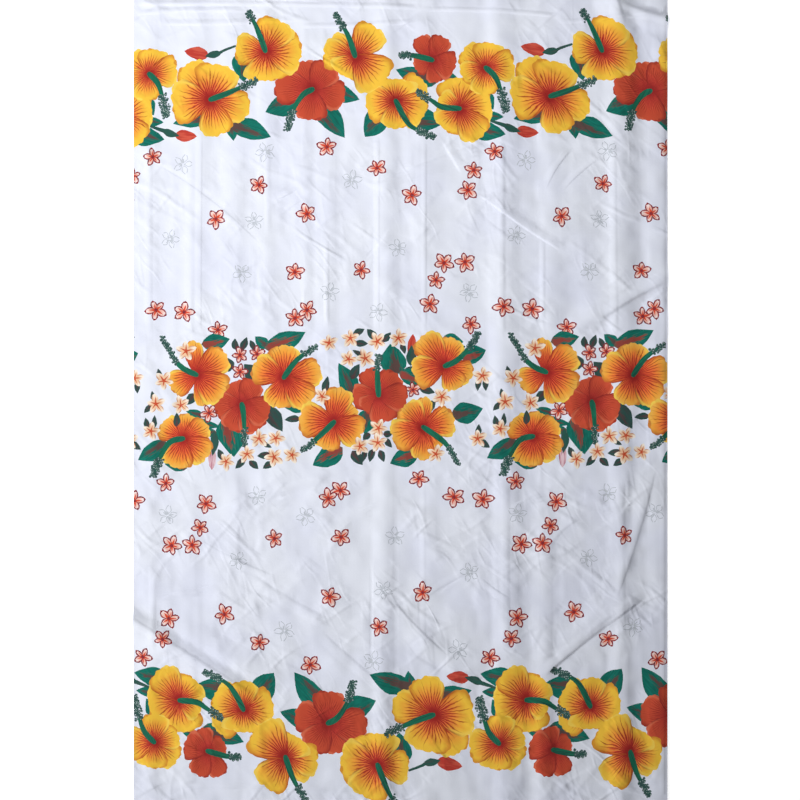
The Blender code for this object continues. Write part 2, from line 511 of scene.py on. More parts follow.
@dataclass(frozen=True)
class Axis:
    """The line that a motif grows along, in the photo's pixels, for its ink to follow.

    On a fan the second coordinate is an angle round the base, and elsewhere it is the
    distance to the side. Both run from -1 at one edge to 1 at the other.
    """

    x: float
    y: float
    angle: float
    length: float
    half_width: float
    fan: bool = False

    # Where along a fan its half width gives its angle, the least distance from its base
    # that an angle is worked out for, the part of its length that has a rim to each
    # side, and the furthest that the rim's coordinate goes
    FAN_WIDEST = 0.62
    NEAREST = 0.001
    RIMMED = (0.05, 0.995)
    RIM_LIMIT = 1.5

    def coordinates(self, places: np.ndarray) -> np.ndarray:
        """Gives the coordinates of places in the photo's pixels.

        Args:
            places: The places.

        Returns:
            For each place, how far along it is, how far round or aside, and how near
            the motif's own rim at that height, where the rim is at -1 and 1.
        """
        right = places[:, 0] - self.x
        up = self.y - places[:, 1]
        turn = math.radians(self.angle)
        along = right * math.cos(turn) + up * math.sin(turn)
        aside = up * math.cos(turn) - right * math.sin(turn)
        if not self.fan:
            aside = aside / self.half_width
            return np.stack([along / self.length, aside, aside], axis=1)
        spread = math.atan2(self.half_width, self.FAN_WIDEST * self.length)
        around = np.arctan2(aside, np.maximum(along, self.NEAREST)) / spread
        reach = petal_reach(np.clip(along / self.length, *self.RIMMED)) * self.half_width
        rim = np.clip(aside / reach, -self.RIM_LIMIT, self.RIM_LIMIT)
        return np.stack([np.hypot(along, aside) / self.length, around, rim], axis=1)


@dataclass(frozen=True)
class Patch:
    """One printed patch: its outline in the photo's pixels, its ink and its axis."""

    ink: Ink
    outline: list[Point]
    axis: Axis


class Brush:
    """Draws the motifs' outlines. Every outline is worked out from a few sizes."""

    # How many points the outlines and curves have
    PETAL_STEPS = 26
    LEAF_STEPS = 9
    BEAD_SIDES = 6
    CURVE_STEPS = 4
    STYLE_STEPS = 6

    # A petal: how much wider it is than its neighbours leave in view, where its base and
    # its heart lie, how many waves its rim has and how deep they are, and their mean
    OVERLAP = {Ink.GOLD: 1.2, Ink.RED: 1.14, Ink.AMBER: 1.08}
    BASE = -0.06
    HEART = 0.55
    RIM_WAVES = ((2.3, 0.8), (5.1, 0.9), (8.7, 0.55))
    MEAN_WAVE = 0.64
    RUFFLE = 0.11
    THROAT_SHARE = 0.2

    # A leaf: how far toward its base it is fullest, how many half waves its edges have,
    # and how deep they are. A bud is a leaf that doesn't bend, with a blunter outline.
    LEAF_FULLEST = 0.8
    LEAF_WAVES = (3, 7)
    LEAF_RIPPLE = 0.16
    LEAF_BEND = 0.06
    LEAF_BLUNT = 0.9
    BUD_BLUNT = 0.7

    # A stem: how far toward its base it swells, and the widest that a dot is turned
    SWELL_LEAN = 0.6
    BEAD_TURN = 60

    # A style: its heel, its widths and its swell, the room that an anther takes in the
    # club, how full and how tapered the club is, and the anthers' and pollen's sizes
    HEEL = 2.5
    STYLE_WIDTHS = (4.8, 2.2, 1.8)
    ANTHER_ROOM = 4.6
    CLUB_FILL = 0.44
    CLUB_TAPER = 0.6
    CLUB_TAPER_POWER = 4
    ANTHER_STRAY = 0.6
    ANTHER_RADII = (1.0, 1.7)
    PLAIN_ANTHER_EVERY = 3
    POLLEN_OFFSET = (0.3, 0.4)
    POLLEN_SIZE = 0.4

    # A small flower: its petals' turn, and the range of their sway, length and width
    SMALL_PETALS = 5
    SMALL_TURN = 72.0
    SMALL_SWAY = 7
    SMALL_LENGTH = 0.6
    SMALL_LENGTHS = (0.86, 1.06)
    SMALL_WIDTHS = (0.33, 0.4)
    OUTLINED_WIDTH = 0.94
    PLAIN_WIDTH = 0.84
    LINE_WIDTH = 1.45

    # A small petal: its width so far along, up its left side and down its right, how far
    # it swirls, and how far its sides and tip stay inside a line
    LEFT_RIM = ((0.2, 0.56), (0.4, 0.94), (0.6, 0.98), (0.83, 0.64))
    RIGHT_RIM = ((0.85, 0.52), (0.62, 0.9), (0.42, 0.9), (0.2, 0.54))
    SWIRL = 0.10
    SIDE_INSET = 0.3
    TIP_INSET = 1.5

    # A ghost flower, in shares of its size across: where its petals' strokes start, swing
    # out and end, with their turns in degrees, and the short strokes in its heart
    NEAR_STROKE = (0.1, 8.0)
    WIDE_STROKE = (0.3, 0.38, 26.0)
    FAR_STROKE = (0.48, 0.56, 5.0)
    STROKE_WIDTHS = (0.7, 0.9)
    HEART_STROKES = 9
    HEART_START = 0.05
    HEART_ENDS = (0.2, 0.34)
    HEART_SWAY = 20
    HEART_WIDTHS = (1.5, 0.7)

    def __init__(self, seed: int) -> None:
        """Starts the brush with its own row of small random differences."""
        self.random = random.Random(seed)

    @staticmethod
    def turned(x: float, y: float, angle: float, along: float, aside: float = 0.0) -> Point:
        """Gives the pixel that lies so far along and aside of a line from a pixel.

        Args:
            x: The pixel that the line starts from.
            y: The pixel that the line starts from.
            angle: The line's direction, in degrees.
            along: How far along the line.
            aside: How far to its left.

        Returns:
            The pixel.
        """
        turn = math.radians(angle)
        return (
            x + along * math.cos(turn) - aside * math.sin(turn),
            y - along * math.sin(turn) - aside * math.cos(turn),
        )

    def petal(self, ink: Ink, x: float, y: float, row: Petal) -> Patch:
        """Draws one broad petal with a softly waved rim.

        Args:
            ink: What the petal is printed with.
            x: The throat's place.
            y: The throat's place.
            row: The petal's direction, length and half width.

        Returns:
            The petal's patch.
        """
        waves = [(count, deep, self.random.uniform(0, WHOLE_TURN))
                 for count, deep in self.RIM_WAVES]
        heart = self.HEART * row.length
        rim = [self.turned(x, y, row.angle, self.BASE * row.length)]
        for step in range(-self.PETAL_STEPS, self.PETAL_STEPS + 1):
            share = 1.0 - abs(step) / (self.PETAL_STEPS + 1)
            along = 1.0 - (1.0 - share) ** 2
            side = float(petal_reach(along)) * row.half_width * (1 if step > 0 else -1)
            far = along * row.length - heart
            round_rim = math.atan2(side, far)
            wave = sum(deep * (abs(math.sin(count * round_rim + start)) - self.MEAN_WAVE)
                       for count, deep, start in waves)
            grow = 1.0 + self.RUFFLE * wave * share
            rim.append(self.turned(x, y, row.angle, heart + far * grow, side * grow))
        axis = Axis(x, y, row.angle, row.length, row.half_width, fan=True)
        return Patch(ink, rim, axis)

    def leaf(self, row: Leaf, bend: float = LEAF_BEND,
             blunt: float = LEAF_BLUNT) -> list[Patch]:
        """Draws one pointed leaf, a little bent and waved.

        Args:
            row: The leaf from base to tip.
            bend: How far it may bend, as a share of its length.
            blunt: How pointed its ends are, less where the value is lower.

        Returns:
            The leaf's one patch.
        """
        waves = [(count, self.random.uniform(0, WHOLE_TURN)) for count in self.LEAF_WAVES]
        length = math.hypot(row.tip_x - row.x, row.tip_y - row.y)
        angle = math.degrees(math.atan2(row.y - row.tip_y, row.tip_x - row.x))
        sway = self.random.uniform(-bend, bend) * length
        rim = []
        for side in (1, -1):
            for step in range(self.LEAF_STEPS):
                share = step / self.LEAF_STEPS
                along = share if side > 0 else 1.0 - share
                full = math.sin(math.pi * along ** self.LEAF_FULLEST) ** blunt
                ripple = sum(math.sin(WHOLE_TURN * along * count / 2.0 + side + start) / count
                             for count, start in waves)
                wide = full * row.half_width * (1.0 + self.LEAF_RIPPLE * ripple)
                rim.append(self.turned(row.x, row.y, angle, along * length,
                                       side * wide + arch(sway, along)))
        return [Patch(row.ink, rim, Axis(row.x, row.y, angle, length, row.half_width))]

    def bud(self, row: Leaf) -> list[Patch]:
        """Draws one closed bud."""
        return self.leaf(row, 0.0, self.BUD_BLUNT)

    def rooted(self, row: Leaf, hidden: float, wider: float) -> list[Patch]:
        """Draws a leaf whose base runs on under the flower that hides it.

        Args:
            row: The leaf as it shows in the chart.
            hidden: How far its base runs on, as a share of its length.
            wider: How much wider it is than what shows.

        Returns:
            The leaf's one patch.
        """
        x = row.x - hidden * (row.tip_x - row.x)
        y = row.y - hidden * (row.tip_y - row.y)
        return self.leaf(row._replace(x=x, y=y, half_width=wider * row.half_width))

    def stem(self, row: Stem) -> list[Patch]:
        """Draws the stem of one bud."""
        return [self.ribbon(Ink.CALYX, *row)]

    @staticmethod
    def smooth(points: Sequence[Point], steps: int) -> list[Point]:
        """Runs a smooth curve through a few points.

        Args:
            points: The points.
            steps: How many steps it takes from each point to the next.

        Returns:
            The curve's points.
        """
        line = [points[0], *points, points[-1]]
        curve = []
        for before, start, end, after in zip(line, line[1:], line[2:], line[3:]):
            for step in range(steps):
                share = step / steps
                curve.append(tuple(
                    0.5 * (2 * s + (e - b) * share + (2 * b - 5 * s + 4 * e - a) * share ** 2
                           + (3 * s - b - 3 * e + a) * share ** 3)
                    for b, s, e, a in zip(before, start, end, after)
                ))
        return curve + [points[-1]]

    def ribbon(self, ink: Ink, points: Sequence[Point], width: float, end: float,
               swell: float = 0.0) -> Patch:
        """Draws one stem along a smooth line.

        Args:
            ink: What it is printed with.
            points: The points that it runs through.
            width: Its width at its base.
            end: Its width at its end.
            swell: How much wider it is than that before its middle.

        Returns:
            The stem's patch.
        """
        line = self.smooth(points, self.CURVE_STEPS)
        left, right = [], []
        for place, (x, y) in enumerate(line):
            before = line[max(place - 1, 0)]
            after = line[min(place + 1, len(line) - 1)]
            run = math.dist(before, after) or 1.0
            share = place / (len(line) - 1)
            bulge = swell * math.sin(HALF_TURN * share ** self.SWELL_LEAN)
            half = 0.5 * (width + (end - width) * share + bulge)
            out_x = (after[1] - before[1]) / run * half
            out_y = (before[0] - after[0]) / run * half
            left.append((x + out_x, y + out_y))
            right.append((x - out_x, y - out_y))
        (x, y), (end_x, end_y) = line[0], line[-1]
        angle = math.degrees(math.atan2(y - end_y, end_x - x))
        axis = Axis(x, y, angle, math.dist(line[0], line[-1]), 0.5 * max(width, end))
        return Patch(ink, left + right[::-1], axis)

    def bead(self, ink: Ink, x: float, y: float, radius: float) -> Patch:
        """Draws one small round dot.

        Args:
            ink: What it is printed with.
            x: Its middle.
            y: Its middle.
            radius: Its radius.

        Returns:
            The dot's patch.
        """
        start = self.random.uniform(0, self.BEAD_TURN)
        rim = [
            self.turned(x, y, start + 360.0 * side / self.BEAD_SIDES, radius)
            for side in range(self.BEAD_SIDES)
        ]
        return Patch(ink, rim, Axis(x, y, 0.0, radius, radius))

    def anther(self, x: float, y: float, pollen: bool) -> list[Patch]:
        """Draws one anther, a little out of its place.

        Args:
            x: Its place.
            y: Its place.
            pollen: Whether it carries a pale dot of pollen.

        Returns:
            Its one or two dots.
        """
        x += self.random.uniform(-self.ANTHER_STRAY, self.ANTHER_STRAY)
        y += self.random.uniform(-self.ANTHER_STRAY, self.ANTHER_STRAY)
        radius = self.random.uniform(*self.ANTHER_RADII)
        dots = [self.bead(Ink.ANTHER, x, y, radius)]
        if pollen:
            left, up = self.POLLEN_OFFSET
            dots.append(self.bead(Ink.POLLEN, x - left, y - up, self.POLLEN_SIZE * radius))
        return dots

    def style(self, flower: Hibiscus) -> list[Patch]:
        """Draws the style and the club of anthers at its end.

        Args:
            flower: The flower whose style it is.

        Returns:
            The patches, from back to front.
        """
        stem = [(flower.x, flower.y), *flower.style]
        patches = [self.bead(Ink.STYLE, flower.x, flower.y, self.HEEL),
                   self.ribbon(Ink.STYLE, stem, *self.STYLE_WIDTHS)]
        line = self.smooth(stem, self.STYLE_STEPS)
        lengths = [0.0]
        for one, two in zip(line, line[1:]):
            lengths.append(lengths[-1] + math.dist(one, two))
        start = max(lengths[-1] - flower.club_length, 0.0)
        count = round(flower.club_length * flower.club_width / self.ANTHER_ROOM)
        for number in range(count):
            share = (number + 0.5) / count
            reach = start + (lengths[-1] - start) * share
            near = max(i for i, run in enumerate(lengths[:-1]) if run <= reach)
            part = (reach - lengths[near]) / (lengths[near + 1] - lengths[near])
            one, two = line[near], line[near + 1]
            run = math.dist(one, two)
            taper = math.sqrt(1.0 - self.CLUB_TAPER * share ** self.CLUB_TAPER_POWER)
            room = self.CLUB_FILL * flower.club_width * taper
            side = room * ((number * GOLDEN % 1.0) * 2.0 - 1.0)
            x = one[0] + (two[0] - one[0]) * part - (two[1] - one[1]) / run * side
            y = one[1] + (two[1] - one[1]) * part + (two[0] - one[0]) / run * side
            patches += self.anther(x, y, number % self.PLAIN_ANTHER_EVERY != 0)
        return patches

    def hibiscus(self, flower: Hibiscus) -> list[Patch]:
        """Draws one open flower: its throat, its petals from back to front, its style.

        Args:
            flower: The flower's row of the chart.

        Returns:
            The patches, from back to front.
        """
        size = sum(row.length for row in flower.petals) / len(flower.petals)
        throat = self.bead(flower.ink, flower.x, flower.y, self.THROAT_SHARE * size)
        patches = [replace(throat, axis=Axis(flower.x, flower.y, 0.0, size, size, fan=True))]
        for row in flower.petals:
            full = row._replace(half_width=row.half_width * self.OVERLAP[flower.ink])
            patches.append(self.petal(flower.ink, flower.x, flower.y, full))
        return patches + self.style(flower)

    def blossom(self, row: Blossom, ink: Ink, outlined: bool,
                growth: float = 1.0) -> list[Patch]:
        """Draws one small flower, with a line round each petal where it is outlined.

        Args:
            row: The flower's place, size and turn.
            ink: What its petals are printed with.
            outlined: Whether each petal has its line.
            growth: How much larger it is than its row says.

        Returns:
            The patches, from back to front.
        """
        patches = []
        across = growth * row.across
        share = self.OUTLINED_WIDTH if outlined else self.PLAIN_WIDTH
        for number in range(self.SMALL_PETALS):
            sway = self.random.uniform(-self.SMALL_SWAY, self.SMALL_SWAY)
            angle = row.turn + self.SMALL_TURN * number + sway
            length = self.SMALL_LENGTH * across * self.random.uniform(*self.SMALL_LENGTHS)
            wide = length * self.random.uniform(*self.SMALL_WIDTHS) * share
            tip = self.turned(row.x, row.y, angle, length)
            whole = Leaf(ink, row.x, row.y, *tip, wide)
            if outlined:
                patches.append(self.small_petal(whole._replace(ink=Ink.BRICK), angle, 0.0))
            patches.append(self.small_petal(whole, angle, self.LINE_WIDTH * outlined))
        return patches

    def small_petal(self, row: Leaf, angle: float, inset: float) -> Patch:
        """Draws one petal of a small flower, fullest near its rounded point.

        Args:
            row: The petal from base to tip.
            angle: The way that it points, in degrees.
            inset: How far it keeps inside its outline.

        Returns:
            The petal's patch.
        """
        length = math.hypot(row.tip_x - row.x, row.tip_y - row.y)
        swirl = self.SWIRL * length
        rims = []
        for side, widths in ((1, self.LEFT_RIM), (-1, self.RIGHT_RIM)):
            rims.append([
                self.turned(row.x, row.y, angle, along * length - self.SIDE_INSET * inset,
                            side * wide * (row.half_width - inset) + swirl * along)
                for along, wide in widths
            ])
        base = self.turned(row.x, row.y, angle, inset)
        tip = self.turned(row.x, row.y, angle, length - self.TIP_INSET * inset, swirl)
        rim = [base, *rims[0], tip, *rims[1]]
        return Patch(row.ink, rim, Axis(row.x, row.y, angle, length, row.half_width))

    def ghost(self, row: Blossom) -> list[Patch]:
        """Draws one faint flower in thin broken strokes, as a pale under-print has it.

        Args:
            row: The flower's place, size and turn.

        Returns:
            The strokes' patches.
        """
        patches = []
        for number in range(self.SMALL_PETALS):
            angle = row.turn + self.SMALL_TURN * number
            for side in (-1, 1):
                reach, turn = self.NEAR_STROKE
                stroke = [self.turned(row.x, row.y, angle + turn * side, reach * row.across)]
                for low, high, turn in (self.WIDE_STROKE, self.FAR_STROKE):
                    reach = row.across * self.random.uniform(low, high)
                    stroke.append(self.turned(row.x, row.y, angle + turn * side, reach))
                patches.append(self.ribbon(Ink.GHOST, stroke, *self.STROKE_WIDTHS))
        for number in range(self.HEART_STROKES):
            angle = self.random.uniform(0, 360)
            start = self.turned(row.x, row.y, angle, self.HEART_START * row.across)
            angle += self.random.uniform(-self.HEART_SWAY, self.HEART_SWAY)
            reach = row.across * self.random.uniform(*self.HEART_ENDS)
            end = self.turned(row.x, row.y, angle, reach)
            patches.append(self.ribbon(Ink.GHOST, [start, end], *self.HEART_WIDTHS))
        return patches


@dataclass
class Design:
    """The whole printed design: every chart drawn, repeated and turned."""

    lay: Lay
    seed: int = 7
    steps: tuple[int, ...] = (-1, 0, 1)

    def copies(self, turn: Turn) -> list[Copy]:
        """Lists the copies that a chart takes, over the whole length of the cloth.

        Args:
            turn: Which copies the chart has.

        Returns:
            The copies, those turned round last.
        """
        shown = [Copy(step, None, self.lay) for step in self.steps]
        about = {Turn.BORDER: self.lay.border_turn, Turn.FIELD: self.lay.field_turn}
        if turn in about:
            shown += [Copy(step, about[turn], self.lay) for step in self.steps]
        return shown

    def drawn(self) -> list[tuple[Patch, Turn]]:
        """Draws each chart once, from the back of the design to its front.

        Returns:
            The patches, each with the copies that it has.
        """
        brush = Brush(self.seed)
        salmon = partial(brush.blossom, ink=Ink.SALMON, outlined=True)
        cream = partial(brush.blossom, ink=Ink.CREAM, outlined=False, growth=1.14)
        under_border = partial(brush.rooted, hidden=0.3, wider=1.25)
        under_cluster = partial(brush.rooted, hidden=0.1, wider=1.2)
        layers = (
            (Turn.FIELD, GHOSTS, brush.ghost),
            (Turn.FIELD, FIELD_BLOSSOMS, salmon),
            (Turn.BORDER, BORDER_LEAVES, under_border),
            (Turn.BORDER, BUD_STEMS, brush.stem),
            (Turn.BORDER, BUDS, brush.bud),
            (Turn.BORDER, CALYXES, brush.leaf),
            (Turn.BORDER, BORDER_FLOWERS, brush.hibiscus),
            (Turn.AS_DRAWN, CLUSTER_LEAVES, under_cluster),
            (Turn.AS_DRAWN, OUTLINED_BLOSSOMS, salmon),
            (Turn.AS_DRAWN, CLUSTER_BUDS, brush.bud),
            (Turn.AS_DRAWN, CLUSTER_CALYXES, brush.leaf),
            (Turn.AS_DRAWN, CLUSTER_FLOWERS, brush.hibiscus),
            (Turn.AS_DRAWN, CLUSTER_BLOSSOMS, cream),
            (Turn.AS_DRAWN, CLUSTER_TOP_LEAVES, brush.leaf),
        )
        return [(patch, turn) for turn, chart, draw in layers
                for row in chart for patch in draw(row)]


class Rumple(NamedTuple):
    """Soft random heights: how far apart they change, which set, and how high in mm."""

    cell_x: float
    cell_y: float
    seed: int
    height: float


@dataclass
class Relief:
    """The cloth's height above the surface that it lies on."""

    folds: tuple[Fold, ...] = BOLT_FOLDS + CROSS_FOLDS
    creases: tuple[Fold, ...] = FINE_CREASES
    broad: Rumple = Rumple(0.055, 0.120, 3, 1.5)
    small: Rumple = Rumple(0.024, 0.050, 5, 0.35)
    ridged: Rumple = Rumple(0.040, 0.085, 8, 1.7)
    small_slant: float = 0.3
    ridge_reach: float = 0.35
    spots: int = 128

    # The mesh follows each fine crease between these shares of its length, at points
    # about this far apart in millimetres, along its crown and at these shares of its
    # flanks
    CREASE_SPAN = (0.02, 0.98)
    CREASE_STEP = 14
    CREASE_POINTS = 4
    FLANK_SHARES = (0.25, 0.58, 1.0)

    @staticmethod
    def rise(fold: Fold, plan: np.ndarray, fade: float) -> np.ndarray:
        """Gives one fold's height at places of the plan.

        Args:
            fold: The fold.
            plan: The places, in metres.
            fade: How far in from its end the fold takes to rise.

        Returns:
            The heights, in metres.
        """
        run = np.array([fold.to_x - fold.from_x, fold.to_y - fold.from_y]) * MM
        length = math.hypot(*run)
        off = plan - np.array([fold.from_x, fold.from_y]) * MM
        along = off @ run / length
        aside = (off[:, 1] * run[0] - off[:, 0] * run[1]) / length
        aside = aside - arch(fold.bow * MM, along / length)
        flank = np.where(aside > 0.0, fold.left, fold.right) * MM
        to_end = np.minimum(along, length - along)
        ramp = np.clip(to_end / fade, 0.0, 1.0)
        crown = np.clip(1.0 - (aside / flank) ** 2, 0.0, None) ** 2
        return fold.height * MM * crown * ramp * ramp * (3.0 - 2.0 * ramp)

    def folded(self, plan: np.ndarray) -> np.ndarray:
        """Gives the height of the large folds, which merge softly where they cross."""
        return np.sqrt(sum(self.rise(fold, plan, FADE) ** 2 for fold in self.folds))

    def drift(self, plan: np.ndarray, rumple: Rumple) -> np.ndarray:
        """Gives soft random heights from -1 to 1.

        Args:
            plan: The places, in metres.
            rumple: How far apart the heights change, and which set they are from.

        Returns:
            The height at each place.
        """
        random_set = np.random.default_rng(rumple.seed)
        spots = random_set.uniform(-1.0, 1.0, (self.spots, self.spots))
        place = np.stack([plan[:, 0] / rumple.cell_x, plan[:, 1] / rumple.cell_y])
        place = place + self.spots / 2
        corner = np.floor(place).astype(int)
        part = place - corner
        part = part ** 3 * (part * (part * 6.0 - 15.0) + 10.0)
        (i, j), (u, v) = corner, part
        low = spots[i, j] * (1.0 - u) + spots[i + 1, j] * u
        high = spots[i, j + 1] * (1.0 - u) + spots[i + 1, j + 1] * u
        return low * (1.0 - v) + high * v

    def crumple(self, plan: np.ndarray) -> np.ndarray:
        """Gives the small rumples that the cloth has all over, between its folds.

        Args:
            plan: The places, in metres.

        Returns:
            The heights, in metres.
        """
        broad = np.maximum(self.drift(plan, self.broad), 0.0)
        small = self.drift(plan + self.small_slant * plan[:, ::-1], self.small)
        ridged = np.maximum(self.ridge_reach - np.abs(self.drift(plan, self.ridged)), 0.0)
        return (self.broad.height * broad + self.small.height * small
                + self.ridged.height * ridged) * MM

    def height(self, plan: np.ndarray) -> np.ndarray:
        """Gives the height of the folds, the fine creases and the rumples together."""
        fine = sum(self.rise(fold, plan, CREASE_FADE) for fold in self.creases)
        return self.folded(plan) + fine + self.crumple(plan)

    def normals(self, plan: np.ndarray) -> np.ndarray:
        """Gives the surface's upward direction at places of the plan.

        Args:
            plan: The places, in metres.

        Returns:
            A unit vector for each place.
        """
        step = 0.5 * MM
        sides = [
            (self.height(plan + move) - self.height(plan - move)) / (2.0 * step)
            for move in (np.array([step, 0.0]), np.array([0.0, step]))
        ]
        up = np.stack([-sides[0], -sides[1], np.ones(len(plan))], axis=1)
        return up / np.linalg.norm(up, axis=1)[:, None]

    def crease_lines(self) -> list[np.ndarray]:
        """Lists lines along each fine crease, for the mesh's edges to follow.

        Returns:
            The lines, each as its points in metres.
        """
        lines = []
        for fold in self.creases:
            start = np.array([fold.from_x, fold.from_y])
            run = np.array([fold.to_x, fold.to_y]) - start
            length = math.hypot(*run)
            side = np.array([-run[1], run[0]]) / length
            count = max(int(length / self.CREASE_STEP), self.CREASE_POINTS)
            share = np.linspace(*self.CREASE_SPAN, count)[:, None]
            middle = start + run * share + arch(side * fold.bow, share)
            for flank in (fold.left, -fold.right):
                lines += [(middle + side * flank * part) * MM for part in self.FLANK_SHARES]
            lines.append(middle * MM)
        return lines


# The share of full light that a screen colour shows a paint under, the palest paint,
# and the screen's own curve: its straight part's end and slope, its offset and its power
LIT = 1.05
PALEST = 0.96
STRAIGHT_END = 0.04045
STRAIGHT_SLOPE = 12.92
CURVE_OFFSET = 0.055
CURVE_POWER = 2.4


def linear(colour: Colour) -> Paint:
    """Turns a screen colour, as it looks under that light, into a paint's colour.

    Args:
        colour: Its red, green and blue, from 0 to 255.

    Returns:
        The paint's red, green, blue and alpha.
    """
    values = []
    for part in colour:
        share = part / 255.0
        even = share / STRAIGHT_SLOPE
        if share > STRAIGHT_END:
            even = ((share + CURVE_OFFSET) / (1.0 + CURVE_OFFSET)) ** CURVE_POWER
        values.append(min(even / LIT, PALEST))
    return (*values, 1.0)


class Wiring:
    """Lays the nodes of one material and links them."""

    def __init__(self, name: str) -> None:
        """Starts a material with its plain shader.

        Args:
            name: The material's name.
        """
        self.material = bpy.data.materials.new(name)
        self.material.use_nodes = True
        self.tree = self.material.node_tree
        self.shader = self.tree.nodes["Principled BSDF"]

    def add(self, kind: str, sockets: dict[str | int, Value] | None = None,
            **settings: str) -> bpy.types.Node:
        """Adds a node.

        Args:
            kind: The node's type, without its ShaderNode prefix.
            sockets: Values or sockets for its inputs, by name or number.
            **settings: Its own properties.

        Returns:
            The node.
        """
        node = self.tree.nodes.new("ShaderNode" + kind)
        for name, value in settings.items():
            setattr(node, name, value)
        for name, value in (sockets or {}).items():
            self.set(node.inputs[name], value)
        return node

    def set(self, socket: Socket, value: Value) -> None:
        """Gives an input its value, or links it to another node's output.

        Args:
            socket: The input.
            value: The value or the output.
        """
        if isinstance(value, Socket):
            self.tree.links.new(value, socket)
        else:
            socket.default_value = value

    def finish(self, sockets: dict[str, Value]) -> bpy.types.Material:
        """Sets inputs of the shader and gives the material.

        Args:
            sockets: What each input takes, by its name.

        Returns:
            The material.
        """
        for name, value in sockets.items():
            self.set(self.shader.inputs[name], value)
        return self.material

    def math(self, action: str, *values: Value) -> Socket:
        """Adds one step of arithmetic and gives its result."""
        return self.add("Math", dict(enumerate(values)), operation=action).outputs[0]

    def times(self, *values: Value) -> Socket:
        """Multiplies values together."""
        return reduce(partial(self.math, "MULTIPLY"), values)

    def scaled(self, value: Value, by: Value, plus: Value) -> Socket:
        """Gives the value times by, with plus added."""
        return self.math("MULTIPLY_ADD", value, by, plus)

    def less(self, value: Value, other: Value) -> Socket:
        """Gives the value less the other."""
        return self.math("SUBTRACT", value, other)

    def size(self, value: Value) -> Socket:
        """Gives the value without its sign."""
        return self.math("ABSOLUTE", value)

    def span(self, value: Value, limits: Span) -> Socket:
        """Gives a smooth rise from 0 at the first limit to 1 at the second."""
        sockets = {"Value": value, "From Min": limits[0], "From Max": limits[1]}
        return self.add("MapRange", sockets, interpolation_type="SMOOTHSTEP").outputs[0]

    def mix(self, share: Value, one: Value, two: Value, blend: str = "MIX") -> Socket:
        """Mixes two colours.

        Args:
            share: How much of the second there is.
            one: The first colour.
            two: The second colour.
            blend: How they are mixed.

        Returns:
            The mixed colour.
        """
        node = self.add("Mix", data_type="RGBA", blend_type=blend)
        for place, value in ((0, share), (6, one), (7, two)):
            self.set(node.inputs[place], value)
        return node.outputs[2]

    def ramp(self, value: Value, stops: Stops) -> Socket:
        """Adds a colour ramp.

        Args:
            value: Where on the ramp to look.
            stops: Each colour's place and the colour.

        Returns:
            The colour there.
        """
        node = self.add("ValToRGB", {0: value})
        steps = node.color_ramp.elements
        while len(steps) < len(stops):
            steps.new(0.5)
        for step, (place, colour) in zip(steps, stops):
            step.position = place
            step.color = linear(colour)
        return node.outputs[0]

    def noise(self, place: Socket, scale: float, detail: float = 2.0) -> Socket:
        """Adds soft noise and gives its value."""
        sockets = {"Vector": place, "Scale": scale, "Detail": detail}
        return self.add("TexNoise", sockets).outputs[0]

    def streaks(self, along: Socket, aside: Socket, across: float, repeats: float) -> Socket:
        """Gives noise that is drawn out along a motif.

        Args:
            along: The coordinate that the streaks run along.
            aside: The coordinate across them.
            across: How many fall across the motif.
            repeats: How often they change along it.

        Returns:
            The noise's value.
        """
        thin = self.times(aside, across)
        long = self.times(along, repeats)
        own = self.attribute("motif_seed")
        place = self.add("CombineXYZ", {"X": thin, "Y": long, "Z": own}).outputs[0]
        return self.noise(place, 1.0, 3.0)

    def attribute(self, name: str) -> Socket:
        """Gives one of the mesh's own attributes, by its name."""
        return self.add("Attribute", attribute_name=name).outputs["Fac"]

    def motif(self) -> tuple[Socket, Socket]:
        """Gives the coordinates along and across the motif."""
        parts = self.add("SeparateXYZ", {0: self.add("UVMap", uv_map="motif").outputs[0]})
        return parts.outputs[0], parts.outputs[1]

    def cloth(self) -> Socket:
        """Gives the place on the cloth."""
        return self.add("TexCoord").outputs["Object"]


class Wrinkle(NamedTuple):
    """One set of fine wrinkles: its lean in radians, its scale and its depth."""

    lean: float
    scale: float
    depth: float


